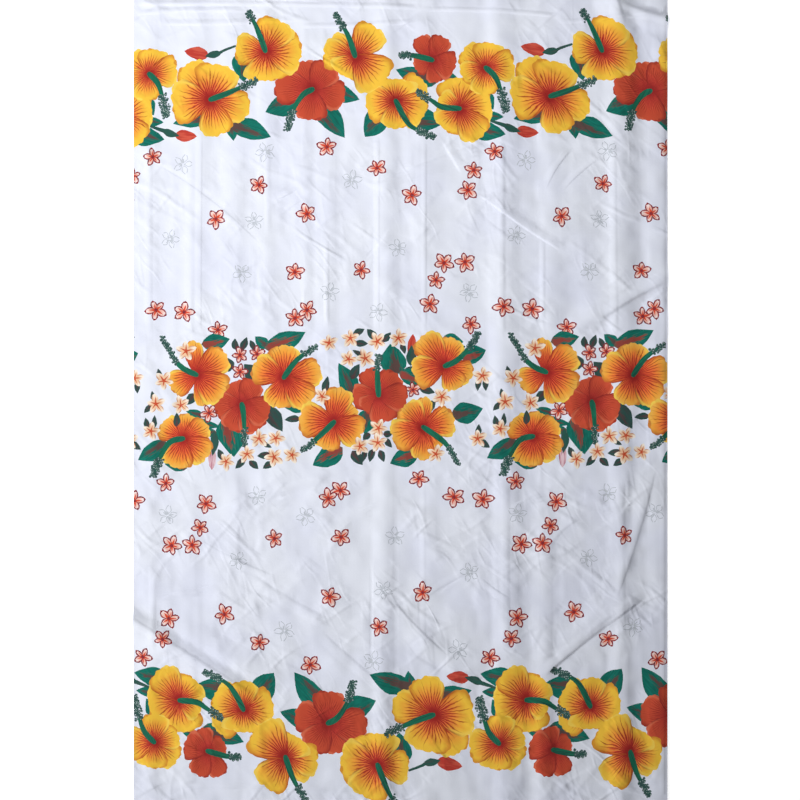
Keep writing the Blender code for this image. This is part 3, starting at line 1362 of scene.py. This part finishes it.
@dataclass(frozen=True)
class CottonInk:
    """A finish of the printed cotton: the ink's colours, and the weave that carries them.

    The weave's bands are coarser than real threads, which are too fine to show here.
    """

    name: str
    band: float = 5.655 * MM
    weave_depth: float = 0.05 * MM
    weave_strength: float = 0.35
    slub: float = 900.0
    mottle: float = 38.0
    mottle_depth: float = 0.06
    mottle_darkest: float = 0.97
    roughness: float = 0.86
    sheen: float = 0.12
    sheen_roughness: float = 0.5
    specular: float = 0.2
    blotch: float = 17.0
    blotch_height: float = 6.0
    patch: float = 9.0
    patch_edge: Span = (0.4, 0.62)
    wrinkle_edge: Span = (0.09, 0.0)
    wrinkle_length: float = 3.2
    wrinkle_sets: tuple[Wrinkle, ...] = rows(
        Wrinkle, (0.96, 17.0, 1.1), (0.12, 26.0, 0.3), (-1.0, 20.0, 0.8), (0.6, 32.0, 0.4)
    )

    # The angle that Blender's wave texture turns through in a unit of place and scale,
    # how far the bands wander, and how much the slubs add to them
    WAVE_TURN = 20.0
    WANDER = 0.6
    SLUB_SHARE = 0.5

    def paint(self, wiring: Wiring) -> Socket:
        """Gives the ink's colour. Each kind of ink has its own."""
        raise NotImplementedError

    def weave(self, wiring: Wiring) -> Socket:
        """Makes the plain weave, as crossed bands with slubs.

        Args:
            wiring: The material's nodes.

        Returns:
            The bands' height.
        """
        place = wiring.cloth()
        scale = math.tau / self.WAVE_TURN / self.band
        sockets = {"Vector": place, "Scale": scale, "Distortion": self.WANDER}
        threads = [wiring.add("TexWave", sockets, bands_direction=way).outputs[1]
                   for way in ("X", "Y")]
        crossed = wiring.math("MAXIMUM", *threads)
        return wiring.scaled(wiring.noise(place, self.slub), self.SLUB_SHARE, crossed)

    def wrinkles(self, wiring: Wiring) -> Socket:
        """Makes the finest wrinkles, too small for the mesh, as soft lines in patches.

        Args:
            wiring: The material's nodes.

        Returns:
            Their height in millimetres.
        """
        place = wiring.cloth()
        patches = wiring.span(wiring.noise(place, self.patch), self.patch_edge)
        height = wiring.times(wiring.noise(place, self.blotch, 1.0), self.blotch_height)
        for row in self.wrinkle_sets:
            sockets = {0: place, "Rotation": (0.0, 0.0, row.lean),
                       "Scale": (1.0, self.wrinkle_length, 1.0)}
            leaned = wiring.add("Mapping", sockets, vector_type="TEXTURE").outputs[0]
            from_line = wiring.less(wiring.noise(leaned, row.scale, 1.0), 0.5)
            line = wiring.span(wiring.size(from_line), self.wrinkle_edge)
            height = wiring.scaled(wiring.times(line, patches), row.depth, height)
        return height

    def material(self) -> bpy.types.Material:
        """Builds the finish's material.

        Returns:
            The material.
        """
        wiring = Wiring(self.name)
        mottle = wiring.noise(wiring.cloth(), self.mottle, 4.0)
        shade = wiring.scaled(mottle, self.mottle_depth, self.mottle_darkest)
        grey = wiring.add("CombineColor", dict.fromkeys(range(3), shade)).outputs[0]
        creased = wiring.add("Bump", {"Height": self.wrinkles(wiring), "Distance": MM})
        woven = wiring.add("Bump", {
            "Height": self.weave(wiring), "Strength": self.weave_strength,
            "Normal": creased.outputs[0], "Distance": self.weave_depth,
        })
        return wiring.finish({
            "Base Color": wiring.mix(1.0, self.paint(wiring), grey, "MULTIPLY"),
            "Normal": woven.outputs[0],
            "Roughness": self.roughness,
            "Sheen Weight": self.sheen,
            "Sheen Roughness": self.sheen_roughness,
            "Specular IOR Level": self.specular,
        })


@dataclass(frozen=True)
class FlatInk(CottonInk):
    """One even colour, a little deeper where the streaks fall."""

    colour: Colour = (255, 255, 255)
    deep: Colour = (255, 255, 255)
    streaks: Span = (2.5, 1.2)
    streak_edge: Span = (0.42, 0.66)

    def paint(self, wiring: Wiring) -> Socket:
        """Gives the even colour with its streaks."""
        mask = wiring.span(wiring.streaks(*wiring.motif(), *self.streaks), self.streak_edge)
        return wiring.mix(mask, linear(self.colour), linear(self.deep))


@dataclass(frozen=True)
class GroundCotton(CottonInk):
    """The unprinted ground."""

    white: Paint = (0.83, 0.86, 0.95, 1.0)
    cool: Paint = (0.79, 0.82, 0.95, 1.0)
    cloud: float = 7.0
    cloud_edge: Span = (0.35, 0.7)

    def paint(self, wiring: Wiring) -> Socket:
        """Gives the ground's white, cooler here and there."""
        drift = wiring.noise(wiring.cloth(), self.cloud, 3.0)
        return wiring.mix(wiring.span(drift, self.cloud_edge), self.white, self.cool)


@dataclass(frozen=True)
class PetalInk(CottonInk):
    """A petal's colours from throat to rim, with veins that fan out of the throat."""

    stops: Stops = ()
    vein: Colour = (150, 52, 22)
    veins: float = 7.0
    vein_reach: float = 0.85
    vein_strength: float = 0.9
    tuck: Colour = (205, 105, 35)
    tuck_strength: float = 0.6
    rim: Colour = (255, 216, 90)
    gleam: Colour = (253, 196, 84)
    gleam_strength: float = 0.5
    drift: float = 0.34

    # How many streaks fall across the petal and how often they change along it: the
    # broad ones that shift its colours and its veins' ends, and those that bend its veins
    BROAD = (4.0, 1.6)
    RAGGED = 0.9
    BENDING = (1.6, 1.8)
    BEND = 2.2

    # Each span fades from its first limit to its second, across the veins or the rim,
    # or along the petal
    VEIN_EDGE = (0.1, 0.036)
    VEIN_END = (0.0, 0.3)
    GLEAM_ACROSS = (0.38, 0.5)
    GLEAM_ALONG = (0.12, 0.34)
    TUCK_ACROSS = (0.66, 0.98)
    RIM_ACROSS = (-0.72, -0.92)
    RIM_ALONG = (0.3, 0.8)
    EDGE_ACROSS = (0.86, 0.98)
    EDGE_ALONG = (1.0, 0.6)
    EDGE_STRENGTH = 0.7

    def paint(self, wiring: Wiring) -> Socket:
        """Gives the petal's colour.

        Args:
            wiring: The material's nodes.

        Returns:
            The colour, with its veins, the gleams between them and its edges.
        """
        along, aside = wiring.motif()
        rim = wiring.attribute("motif_rim")
        broad = wiring.streaks(along, aside, *self.BROAD)
        place = wiring.scaled(broad, self.drift, wiring.less(along, 0.5 * self.drift))
        colour = wiring.ramp(place, self.stops)

        bending = wiring.times(wiring.streaks(along, aside, *self.BENDING), self.BEND)
        wave = wiring.math("PINGPONG", wiring.scaled(aside, self.veins, bending), 0.5)
        reach = wiring.scaled(broad, self.RAGGED, self.vein_reach - 0.5 * self.RAGGED)
        fade = wiring.span(wiring.less(reach, along), self.VEIN_END)
        lines = wiring.span(wiring.times(wave, along), self.VEIN_EDGE)
        between = wiring.times(wiring.span(wave, self.GLEAM_ACROSS),
                               wiring.span(along, self.GLEAM_ALONG))
        under = wiring.times(wiring.span(rim, self.RIM_ACROSS),
                             wiring.span(along, self.RIM_ALONG))
        edge = wiring.times(wiring.span(wiring.size(rim), self.EDGE_ACROSS),
                            wiring.span(along, self.EDGE_ALONG))

        for share, paint in (
            (wiring.times(lines, fade, self.vein_strength), self.vein),
            (wiring.times(between, fade, self.gleam_strength), self.gleam),
            (wiring.times(wiring.span(rim, self.TUCK_ACROSS), self.tuck_strength), self.tuck),
            (under, self.rim),
            (wiring.times(edge, self.EDGE_STRENGTH), self.vein),
        ):
            colour = wiring.mix(share, colour, linear(paint))
        return colour


@dataclass(frozen=True)
class BlossomInk(CottonInk):
    """A small petal's pale colour, with a brushed streak out of its flower's heart."""

    pale: Colour = (254, 240, 238)
    tint: Colour = (248, 190, 174)
    streak: Colour = (220, 76, 46)
    streak_length: float = 0.72
    streak_width: float = 0.42
    line: Colour = (176, 96, 78)
    line_strength: float = 0.0

    # The brush's own streaks, and how far they ruffle an edge
    BRUSHED = (3.0, 1.5)
    RUFFLED = 0.5

    # Each span fades from its first limit to its second
    GLOW = (1.1, 0.6)
    EDGE_ACROSS = (0.5, 0.95)
    EDGE_STRENGTH = 0.8
    STREAK_EDGE = (-0.08, 0.1)
    LINE_ACROSS = (0.74, 0.92)

    def paint(self, wiring: Wiring) -> Socket:
        """Gives the petal's colour.

        Args:
            wiring: The material's nodes.

        Returns:
            The colour, with its tinted edges, its streak and its line.
        """
        along, aside = wiring.motif()
        rough = wiring.streaks(along, aside, *self.BRUSHED)
        side = wiring.size(aside)
        glow = wiring.scaled(rough, self.RUFFLED, along)
        taper = -self.streak_width / self.streak_length
        narrow = wiring.scaled(along, taper, self.streak_width)
        near = wiring.less(wiring.scaled(rough, self.RUFFLED, narrow), 0.5 * self.RUFFLED)

        colour = linear(self.pale)
        for share, paint in (
            (wiring.span(glow, self.GLOW), self.tint),
            (wiring.times(wiring.span(side, self.EDGE_ACROSS), self.EDGE_STRENGTH), self.tint),
            (wiring.span(wiring.less(near, side), self.STREAK_EDGE), self.streak),
            (wiring.times(wiring.span(side, self.LINE_ACROSS), self.line_strength), self.line),
        ):
            colour = wiring.mix(share, colour, linear(paint))
        return colour


@dataclass(frozen=True)
class LeafInk(CottonInk):
    """A leaf's green, with a brushed stripe down its middle."""

    green: Colour = (10, 122, 106)
    deep: Colour = (12, 100, 88)
    stripe: Colour = (100, 66, 64)
    stripe_width: float = 0.6

    # The brush's own streaks and how far they ruffle the stripe, how far the stripe lies
    # to one side, how it narrows toward the tip, and how strong it is
    BRUSHED = (9.0, 4.0)
    RUFFLED = 1.3
    OFF_MIDDLE = 0.12
    TAPER = -0.6
    STRIPE_STRENGTH = 0.9

    # Each span fades from its first limit to its second
    STRIPE_EDGE = (0.0, 0.16)
    STRIPE_START = (-0.05, 0.12)
    STRIPE_END = (0.95, 0.68)
    DEEP_EDGE = (0.35, 0.7)

    def paint(self, wiring: Wiring) -> Socket:
        """Gives the leaf's colour.

        Args:
            wiring: The material's nodes.

        Returns:
            The colour, with its streaks and its stripe.
        """
        along, aside = wiring.motif()
        rough = wiring.streaks(along, aside, *self.BRUSHED)
        side = wiring.size(wiring.math("ADD", aside, self.OFF_MIDDLE))
        side = wiring.scaled(rough, self.RUFFLED, wiring.less(side, 0.5 * self.RUFFLED))
        narrow = wiring.scaled(along, self.TAPER, self.stripe_width)
        inside = wiring.span(wiring.less(narrow, side), self.STRIPE_EDGE)
        stripe = wiring.times(inside, self.STRIPE_STRENGTH,
                              wiring.span(along, self.STRIPE_START),
                              wiring.span(along, self.STRIPE_END))
        green = wiring.mix(wiring.span(rough, self.DEEP_EDGE), linear(self.green),
                           linear(self.deep))
        return wiring.mix(stripe, green, linear(self.stripe))


def cotton_inks() -> dict[Ink, CottonInk]:
    """Lists the finish of each ink.

    Returns:
        The finishes.
    """
    gold = ((0.0, (164, 36, 38)), (0.16, (204, 46, 46)), (0.3, (220, 74, 50)),
            (0.44, (236, 118, 54)), (0.6, (248, 164, 60)), (0.85, (253, 202, 66)))
    amber = ((0.0, (198, 46, 44)), (0.25, (222, 62, 48)), (0.46, (230, 90, 52)),
             (0.64, (246, 134, 58)), (0.82, (252, 172, 64)), (0.97, (250, 190, 84)))
    red = ((0.0, (176, 38, 36)), (0.3, (196, 56, 46)), (0.6, (202, 74, 50)),
           (0.95, (206, 82, 54)))
    return {
        Ink.GROUND: GroundCotton("cotton_ground"),
        Ink.GOLD: PetalInk("gold_petal", stops=gold, vein=(156, 36, 30), veins=5.0),
        Ink.AMBER: PetalInk("amber_petal", stops=amber, vein=(158, 34, 32), veins=5.0,
                            vein_reach=0.95, tuck=(184, 70, 34), gleam=(250, 160, 66)),
        Ink.RED: PetalInk("red_petal", stops=red, vein=(140, 34, 34), tuck=(150, 44, 38),
                          vein_strength=0.75, rim=(224, 112, 80), gleam=(222, 104, 78),
                          drift=0.2),
        Ink.STYLE: FlatInk("style_green", colour=(22, 114, 86), deep=(28, 82, 70)),
        Ink.ANTHER: FlatInk("anther_grey_green", colour=(50, 84, 80), deep=(66, 96, 92)),
        Ink.POLLEN: FlatInk("pollen_pale", colour=(170, 190, 184), deep=(140, 165, 158)),
        Ink.LEAF: LeafInk("leaf_teal"),
        Ink.LEAF_RED: LeafInk("leaf_red_heart", stripe=(160, 62, 54), stripe_width=0.62),
        Ink.LEAF_DARK: LeafInk("leaf_dark", green=(44, 84, 78), deep=(60, 74, 72),
                               stripe=(88, 62, 64), stripe_width=0.55),
        Ink.CALYX: FlatInk("calyx_green", colour=(40, 90, 80), deep=(62, 84, 78)),
        Ink.BUD: FlatInk("bud_red", colour=(192, 62, 50), deep=(216, 92, 72)),
        Ink.SALMON: BlossomInk("salmon_petal"),
        Ink.BRICK: FlatInk("brick_line", colour=(158, 50, 54), deep=(112, 42, 58)),
        Ink.CREAM: BlossomInk("cream_petal", pale=(255, 244, 228), tint=(244, 200, 160),
                              streak=(206, 84, 52), streak_width=0.34,
                              line_strength=0.55),
        Ink.GHOST: FlatInk("ghost_grey", colour=(194, 200, 210), deep=(220, 225, 233)),
        Ink.BLUSH: FlatInk("blush_bud", colour=(238, 206, 214), deep=(190, 110, 130)),
    }


class Laid(NamedTuple):
    """One patch as it is laid on the cloth: its copy, and its outline in the plan."""

    patch: Patch
    copy: Copy
    plan: np.ndarray


@dataclass
class ClothPanel:
    """The printed cloth itself: a thin closed shell on the solid's form."""

    low: Vector
    high: Vector
    name: str = "printed_cloth"
    shell: float = 1.0 * MM
    lowest: float = 0.3 * MM
    grid: float = 8.9 * MM
    under_grid: float = 14.0 * MM
    slack: float = 0.9 * MM
    lay: Lay = field(default_factory=Lay)
    relief: Relief = field(default_factory=Relief)

    # Points closer than this are one point, points of the two faces meet where their
    # places agree to this many digits, and each patch's streaks start this far apart
    SAME_POINT = 1e-6
    DIGITS = 7
    SEED_SPREAD = 40.0

    def inner_points(self, spacing: float) -> np.ndarray:
        """Lists an even grid of points inside the cloth's edges.

        Args:
            spacing: About how far apart they are.

        Returns:
            The points.
        """
        wide = max(int((self.high.x - self.low.x) / spacing), 2)
        tall = max(int((self.high.y - self.low.y) / spacing), 2)
        xs = np.linspace(self.low.x, self.high.x, wide + 1)[1:-1]
        ys = np.linspace(self.low.y, self.high.y, tall + 1)[1:-1]
        across, up = np.meshgrid(xs, ys)
        return np.stack([across.ravel(), up.ravel()], axis=1)

    def edge_points(self, spacing: float) -> np.ndarray:
        """Lists the points of the cloth's edge, all the way round.

        Args:
            spacing: About how far apart they are.

        Returns:
            The points.
        """
        corners = [(self.low.x, self.low.y), (self.high.x, self.low.y),
                   (self.high.x, self.high.y), (self.low.x, self.high.y)]
        points = []
        for start, end in zip(corners, corners[1:] + corners[:1]):
            count = int(math.dist(start, end) / spacing)
            for share in np.arange(count) / count:
                points.append(np.array(start) * (1.0 - share) + np.array(end) * share)
        return np.array(points)

    def within(self, points: np.ndarray) -> np.ndarray:
        """Tells which points lie inside the cloth's edges."""
        across = (points[:, 0] > self.low.x) & (points[:, 0] < self.high.x)
        return across & (points[:, 1] > self.low.y) & (points[:, 1] < self.high.y)

    def laid(self) -> list[Laid]:
        """Lays every copy of every patch that reaches the cloth, from back to front.

        Returns:
            The patches.
        """
        design = Design(self.lay)
        shown = []
        for patch, turn in design.drawn():
            even = self.lay.to_even(self.lay.from_photo(np.array(patch.outline)))
            for copy in design.copies(turn):
                plan = self.lay.to_cloth(copy.place(even))
                low, high = plan.min(axis=0), plan.max(axis=0)
                inside = low[0] < self.high.x and high[0] > self.low.x
                if inside and low[1] < self.high.y and high[1] > self.low.y:
                    shown.append(Laid(patch, copy, plan))
        return shown

    def triangulate(self, outlines: list[np.ndarray], lines: list[np.ndarray],
                    loose: np.ndarray) -> tuple[np.ndarray, np.ndarray]:
        """Cuts the cloth's plan into triangles along every outline and line.

        Args:
            outlines: Closed outlines, each a list of points.
            lines: Open lines.
            loose: Other points that the triangles meet at.

        Returns:
            The points, and the triangles inside the cloth's edges.
        """
        edges = []
        start = 0
        for number, line in enumerate([*outlines, *lines]):
            order = list(range(start, start + len(line)))
            onward = order[1:] + order[:1] if number < len(outlines) else order[1:]
            edges += list(zip(order, onward))
            start += len(line)
        points = [Vector(p) for p in np.concatenate([*outlines, *lines, loose]).tolist()]
        result = delaunay_2d_cdt(points, edges, [], 0, self.SAME_POINT, False)
        spots = np.array([tuple(v) for v in result[0]])
        triangles = np.array(result[2])
        triangles = triangles[self.within(spots[triangles].mean(axis=1))]
        used, triangles = np.unique(triangles, return_inverse=True)
        return spots[used], triangles.reshape(-1, 3)

    @staticmethod
    def holds(outline: np.ndarray, points: np.ndarray) -> np.ndarray:
        """Tells which points a closed outline goes round.

        Args:
            outline: The outline's points.
            points: The points to test.

        Returns:
            True for each point that lies inside.
        """
        onward = np.roll(outline, -1, axis=0)
        x, y = points[:, :1], points[:, 1:]
        run = onward - outline
        up = (outline[:, 1] <= y) & (onward[:, 1] > y)
        down = (outline[:, 1] > y) & (onward[:, 1] <= y)
        left = run[:, 0] * (y - outline[:, 1]) - run[:, 1] * (x - outline[:, 0])
        return ((up & (left > 0.0)).sum(axis=1) - (down & (left < 0.0)).sum(axis=1)) != 0

    def patches_of(self, middles: np.ndarray, laid: list[Laid]) -> np.ndarray:
        """Finds the foremost patch that each triangle lies in.

        Args:
            middles: The triangles' middles.
            laid: The patches.

        Returns:
            The patch's number for each triangle, or -1 on the ground.
        """
        order = np.argsort(middles[:, 0])
        across = middles[order, 0]
        patch_of = np.full(len(middles), -1)
        for number, (_, _, plan) in enumerate(laid):
            first, last = np.searchsorted(across, (plan[:, 0].min(), plan[:, 0].max()))
            near = order[first:last]
            heights = middles[near, 1]
            near = near[(heights > plan[:, 1].min()) & (heights < plan[:, 1].max())]
            patch_of[near[self.holds(plan, middles[near])]] = number
        return patch_of

    @staticmethod
    def rim(faces: np.ndarray) -> list[int]:
        """Follows the open edge of the printed face, anticlockwise.

        Args:
            faces: Its triangles.

        Returns:
            The numbers of the points along the edge.
        """
        pairs = {(a, b) for tri in faces.tolist() for a, b in zip(tri, tri[1:] + tri[:1])}
        onward = {one: two for one, two in pairs if (two, one) not in pairs}
        loop = [min(onward)]
        while onward[loop[-1]] != loop[0]:
            loop.append(onward[loop[-1]])
        return loop

    def coordinates(self, plan: np.ndarray, faces: np.ndarray, patch_of: np.ndarray,
                    laid: list[Laid]) -> tuple[np.ndarray, np.ndarray]:
        """Works out where each face's corners lie along its motif.

        Args:
            plan: The printed face's points.
            faces: Its triangles.
            patch_of: The patch of each triangle, or -1 on the ground.
            laid: The patches.

        Returns:
            The coordinates of each corner, and each face's own number.
        """
        even = self.lay.to_even(plan)
        charts = {}
        corners = np.zeros((len(faces), 3, 3))
        seeds = np.zeros(len(faces))
        order = np.argsort(patch_of, kind="stable")
        starts = np.searchsorted(patch_of[order], np.arange(len(laid) + 1))
        for number, (patch, copy, _) in enumerate(laid):
            chosen = order[starts[number]:starts[number + 1]]
            if not len(chosen):
                continue
            if copy not in charts:
                charts[copy] = self.lay.to_photo(self.lay.to_cloth(copy.unplace(even)))
            spots = charts[copy][faces[chosen].ravel()]
            corners[chosen] = patch.axis.coordinates(spots).reshape(-1, 3, 3)
            seeds[chosen] = (number * GOLDEN) % 1.0 * self.SEED_SPREAD
        return corners, seeds

    def build(self) -> bpy.types.Object:
        """Makes the shell's mesh with its inks.

        Returns:
            The cloth's object.
        """
        laid = self.laid()
        outlines = [self.edge_points(self.grid)] + [row.plan for row in laid]
        lines = [line[self.within(line)] for line in self.relief.crease_lines()]
        plan, faces = self.triangulate(outlines, lines, self.inner_points(self.grid))
        patch_of = self.patches_of(plan[faces].mean(axis=1), laid)
        loop = self.rim(faces)
        under, under_faces = self.triangulate([plan[loop]], [],
                                              self.inner_points(self.under_grid))

        top = np.maximum(self.relief.height(plan) + self.shell, self.lowest)
        hollow = np.maximum(self.relief.folded(under) - self.slack, 0.0)
        points = np.concatenate([np.column_stack([plan, top]),
                                 np.column_stack([under, hollow])])
        base = len(plan)
        lower = [(base + c, base + b, base + a) for a, b, c in under_faces.tolist()]
        below = {tuple(np.round(p, self.DIGITS)): base + i for i, p in enumerate(under)}
        low_of = {i: below[tuple(np.round(plan[i], self.DIGITS))] for i in loop}
        sides = [(b, a, low_of[a], low_of[b]) for a, b in zip(loop, loop[1:] + loop[:1])]

        mesh = bpy.data.meshes.new(self.name)
        mesh.from_pydata(points.tolist(), [], faces.tolist() + lower + sides)
        piece = bpy.data.objects.new(self.name, mesh)
        bpy.context.scene.collection.objects.link(piece)

        self.ink(mesh, patch_of, laid, *self.coordinates(plan, faces, patch_of, laid))
        self.shade(mesh, plan, under, sides)
        LOG.info("%s: %d motif patches, %d faces on top, %d below",
                 self.name, len(laid), len(faces), len(lower))
        return piece

    def ink(self, mesh: bpy.types.Mesh, patch_of: np.ndarray, laid: list[Laid],
            corners: np.ndarray, seeds: np.ndarray) -> None:
        """Gives the faces their inks, and the coordinates that the inks follow.

        Args:
            mesh: The shell's mesh.
            patch_of: The patch of each face on top.
            laid: The patches.
            corners: The coordinates of each corner on top.
            seeds: Each top face's own number.
        """
        finishes = cotton_inks()
        for ink in Ink:
            mesh.materials.append(finishes[ink].material())
        inks = np.array([row.patch.ink for row in laid] + [Ink.GROUND])
        slots = np.zeros(len(mesh.polygons), dtype=np.int32)
        slots[:len(patch_of)] = inks[patch_of]
        mesh.polygons.foreach_set("material_index", slots)
        spread = np.zeros((len(mesh.loops), 3))
        spread[:3 * len(corners)] = corners.reshape(-1, 3)
        mesh.uv_layers.new(name="motif").uv.foreach_set("vector", spread[:, :2].ravel())
        rims = mesh.attributes.new("motif_rim", "FLOAT", "CORNER")
        rims.data.foreach_set("value", spread[:, 2].copy())
        numbers = np.zeros(len(mesh.polygons))
        numbers[:len(seeds)] = seeds
        mesh.attributes.new("motif_seed", "FLOAT", "FACE").data.foreach_set("value", numbers)

    def shade(self, mesh: bpy.types.Mesh, plan: np.ndarray, under: np.ndarray,
              sides: list[tuple[int, ...]]) -> None:
        """Gives every corner the true direction of the surface there.

        Args:
            mesh: The shell's mesh.
            plan: The printed face's points.
            under: The underside's points.
            sides: The faces of the rim, which are the mesh's last.
        """
        mesh.polygons.foreach_set("use_smooth", np.ones(len(mesh.polygons), dtype=bool))
        up = np.concatenate([self.relief.normals(plan), -self.relief.normals(under)])
        corners = np.empty(len(mesh.loops), dtype=np.int32)
        mesh.loops.foreach_get("vertex_index", corners)
        normals = up[corners]
        first = len(corners) - 4 * len(sides)
        for number, (b, a, _, _) in enumerate(sides):
            along = plan[b] - plan[a]
            out = np.array([along[1], -along[0], 0.0]) / np.linalg.norm(along)
            normals[first + 4 * number:first + 4 * number + 4] = out
        mesh.normals_split_custom_set(normals.tolist())

    def dress(self, piece: bpy.types.Object) -> None:
        """Hangs the piece on the root body and hides the imported solid that it stands for.

        Args:
            piece: The cloth's object.
        """
        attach(piece, "root")
        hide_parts(CLOTH_NODE)


@dataclass
class Floor:
    """The plain pale floor that the cloth lies on."""

    size: float = 9.0
    drop: float = 0.3 * MM
    pale: Paint = (0.92, 0.92, 0.92, 1.0)
    roughness: float = 0.9
    glow_colour: Paint = (1.0, 1.0, 1.0, 1.0)
    glow: float = 0.6

    def build(self) -> None:
        """Makes the floor just under the cloth."""
        bpy.ops.object.select_all(action="DESELECT")
        bpy.ops.mesh.primitive_plane_add(size=self.size, location=(0.0, 0.0, -self.drop))
        floor = bpy.context.active_object
        floor.name = "floor"
        bpy.ops.object.transform_apply(location=True, rotation=False, scale=False)
        floor.data.materials.append(Wiring("pale_floor").finish({
            "Base Color": self.pale,
            "Roughness": self.roughness,
            "Specular IOR Level": 0.0,
            "Emission Color": self.glow_colour,
            "Emission Strength": self.glow,
        }))
        LOG.info("floor: %.1f m square", self.size)


class Lamp(NamedTuple):
    """One soft round lamp: its place, the spot that it is aimed at, its power and size."""

    name: str
    place: tuple[float, float, float]
    aim: tuple[float, float, float]
    power: float
    size: float = 0.6


@dataclass
class Studio:
    """The soft light from the left, and the camera straight above the cloth."""

    lamps: tuple[Lamp, ...] = (
        Lamp("window_light", (-3.20, -1.60, 1.73), (0.0, 0.0, 0.0), 97.0),
        Lamp("ceiling_light", (-0.46, 0.66, 1.95), (-0.46, 0.66, 0.0), 28.5),
    )
    fill: float = 0.07
    fill_colour: Paint = (0.93, 0.96, 1.0, 1.0)
    lens: float = 85.0
    sensor: float = 36.0
    picture: float = 1.484
    off_middle: float = -0.0009
    surface: float = 2.0 * MM

    def light(self) -> None:
        """Sets the soft lamps and an even fill all round."""
        for row in self.lamps:
            data = bpy.data.lights.new(row.name, "AREA")
            data.shape = "DISK"
            data.size = row.size
            data.energy = row.power
            lamp = bpy.data.objects.new(row.name, data)
            lamp.location = row.place
            beam = Vector(row.aim) - Vector(row.place)
            lamp.rotation_euler = beam.to_track_quat("-Z", "Y").to_euler()
            bpy.context.scene.collection.objects.link(lamp)
        world = bpy.data.worlds.new("fill_light")
        world.use_nodes = True
        background = world.node_tree.nodes["Background"]
        background.inputs["Color"].default_value = self.fill_colour
        background.inputs["Strength"].default_value = self.fill
        bpy.context.scene.world = world
        bpy.context.scene.view_settings.view_transform = "Standard"
        LOG.info("studio: %d lamps and a fill", len(self.lamps))

    def camera(self) -> None:
        """Hangs the camera straight above, so that the photo's frame is filled."""
        data = bpy.data.cameras.new("camera")
        data.lens = self.lens
        data.sensor_width = self.sensor
        camera = bpy.data.objects.new("camera", data)
        height = self.surface + self.picture * self.lens / self.sensor
        camera.location = (self.off_middle, 0.0, height)
        bpy.context.scene.collection.objects.link(camera)
        bpy.context.scene.camera = camera


def main() -> None:
    """Builds the camera, the light, the floor and the cloth."""
    studio = Studio()
    studio.camera()
    studio.light()
    Floor().build()
    low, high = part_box(CLOTH_NODE)
    panel = ClothPanel(Vector(low), Vector(high))
    piece = panel.build()
    panel.dress(piece)


if __name__ == "__main__":
    main()
